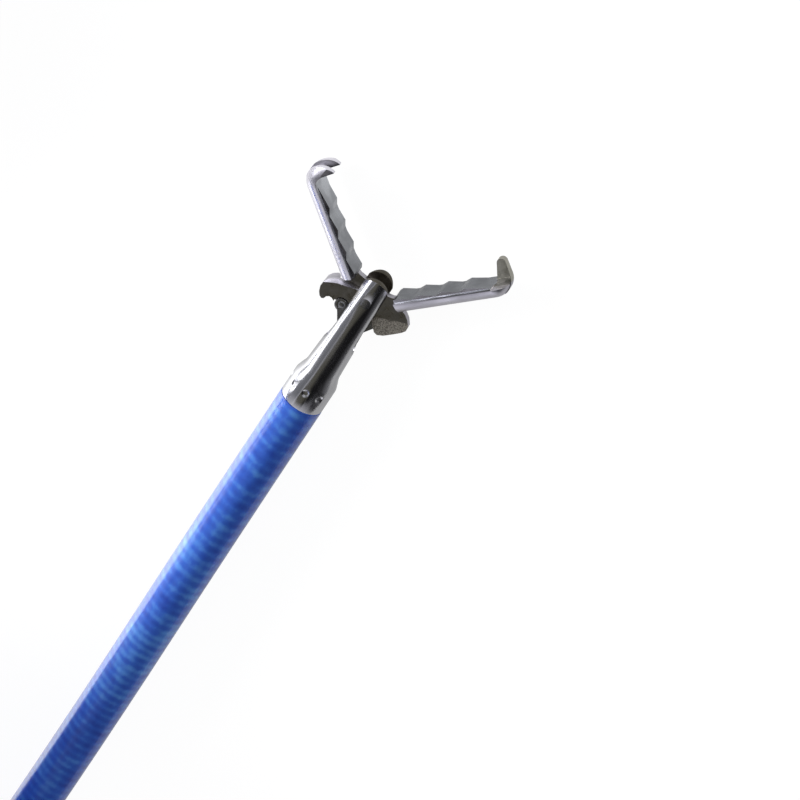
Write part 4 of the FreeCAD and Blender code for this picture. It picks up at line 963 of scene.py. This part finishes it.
front = turned_solid([
    (NOSE_TIP_X + NOSE_SKIN, 0), (NOSE_TIP_X + NOSE_SKIN, SPIGOT_R), (NOSE_BACK_X, SPIGOT_R),
    (NOSE_BACK_X, FLANGE_R - 0.2), (NOSE_BACK_X + 0.2, FLANGE_R), (NOSE_BACK_X + 1.6, FLANGE_R),
    (NOSE_BACK_X + 2.2, FLANGE_R - 0.5), (NOSE_BACK_X + 2.2, 0)], 60)
thumb_ring = finger_ring(RING_X, 0, RING_R, RING_HOLE_R, RING_THICK, RING_ROUND)
body = combined(shaft, [thumb_ring, front], "UNION")
half = SLOT_WIDE / 2
slot = [(SLOT_END_X - half, half)] + arc(SLOT_FRONT_X + half, 0, half, 90, 270, 12) \
    + arc(SLOT_END_X - half, 0, half, -90, 90, 12)[:-1]
bore = prism(arc(0, 0, WIRE_BORE_R, 0, 360, 20)[:-1], NOSE_TIP_X, SLOT_FRONT_X + half, "X")
body = combined(body, [prism(slot, -SHAFT_THICK, SHAFT_THICK), bore], "DIFFERENCE")
body = rounded(body, MOULDED_EDGE, MOULDED_SHARP)
at_handle("handle_with_thumb_ring", body, "forceps_body", "handle_body", white_plastic)


# Finger slider: blue moulded sleeve with a ring each side, with grip ribs on its top and bottom
# and a well for the clamp screw.
SLEEVE_LENGTH, SLEEVE_WIDE, SLEEVE_THICK, SLEEVE_ROUND, SLIDE_CLEAR = 17.0, 17.0, 8.6, 2.0, 0.15
FINGER_Y, FINGER_R, FINGER_HOLE_R, FINGER_THICK, FINGER_ROUND = 21.5, 14.5, 10.5, 7.6, 1.8
RIB_PLACES, RIB_HALF, RIB_REACH, RIB_HIGH = (-7.0, -5.6, -4.2, 4.2, 5.6, 7.0), 0.35, 4.6, 0.25
SCREW_HEAD_R, SCREW_HEAD_T, SCREW_R, SCREW_DEPTH = 2.0, 1.1, 1.0, 2.2
sleeve = prism(rounded_box(SLEEVE_WIDE, SLEEVE_THICK, SLEEVE_ROUND, 6)[1:], SLIDER_X - SLEEVE_LENGTH / 2,
               SLIDER_X + SLEEVE_LENGTH / 2, "X")
ribs = []
for offset in RIB_PLACES:
    rib = block(SLIDER_X + offset - RIB_HALF, SLIDER_X + offset + RIB_HALF, -RIB_REACH, RIB_REACH,
                -SLEEVE_THICK / 2 - RIB_HIGH, SLEEVE_THICK / 2 + RIB_HIGH)
    ribs.append(rounded(rib, 0.2, 40, 3))
rings = [finger_ring(SLIDER_X, side * FINGER_Y, FINGER_R, FINGER_HOLE_R, FINGER_THICK, FINGER_ROUND, 96)
         for side in (1, -1)]
slider = combined(sleeve, rings + ribs, "UNION")
way = prism(rounded_box(SHAFT_WIDE + 2 * SLIDE_CLEAR, SHAFT_THICK + 2 * SLIDE_CLEAR, SHAFT_ROUND, 6)[1:],
            SLIDER_X - SLEEVE_LENGTH, SLIDER_X + SLEEVE_LENGTH, "X")
well = disc(SLIDER_X, 0, SCREW_HEAD_R + 0.1, SHAFT_THICK / 2, SLEEVE_THICK)
slider = rounded(combined(slider, [way, well], "DIFFERENCE"), MOULDED_EDGE, MOULDED_SHARP)
at_handle("finger_slider_ribbed", slider, "slider", "finger_slider", blue_plastic)


# Clamp screw: plated steel cheese head with a driver slot. The wire tube is bright drawn steel
# and the block turned brass; both are hardly seen in the slot and keep their plain forms.
DRIVER_HALF, DRIVER_DEPTH = 0.3, 0.5
block_top = SHAFT_THICK / 2 + SLIDE_CLEAR
head = disc(SLIDER_X, 0, SCREW_HEAD_R, block_top, block_top + SCREW_HEAD_T)
driver = block(SLIDER_X - 3, SLIDER_X + 3, -DRIVER_HALF, DRIVER_HALF,
               block_top + SCREW_HEAD_T - DRIVER_DEPTH, block_top + 2)
head = rounded(combined(head, [driver], "DIFFERENCE"), 0.12, 40)
shank = disc(SLIDER_X, 0, SCREW_R, block_top - SCREW_DEPTH, block_top + 0.2)
screw = combined(head, [shank], "UNION")
at_handle("clamp_screw_slotted", screw, "slider", "clamp_screw", plain_steel)
# Free-cutting brass as it comes from the lathe: warm yellow with fine turning lines
brass = steel("turned brass", "c8a050", 0.26, (1.0, 3.0, 3.0), 0.1, 0.15)
for node, material in (("wire_tube", plain_steel), ("wire_block", brass)):
    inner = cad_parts[node]
    inner.data.materials.clear()
    inner.data.materials.append(material)
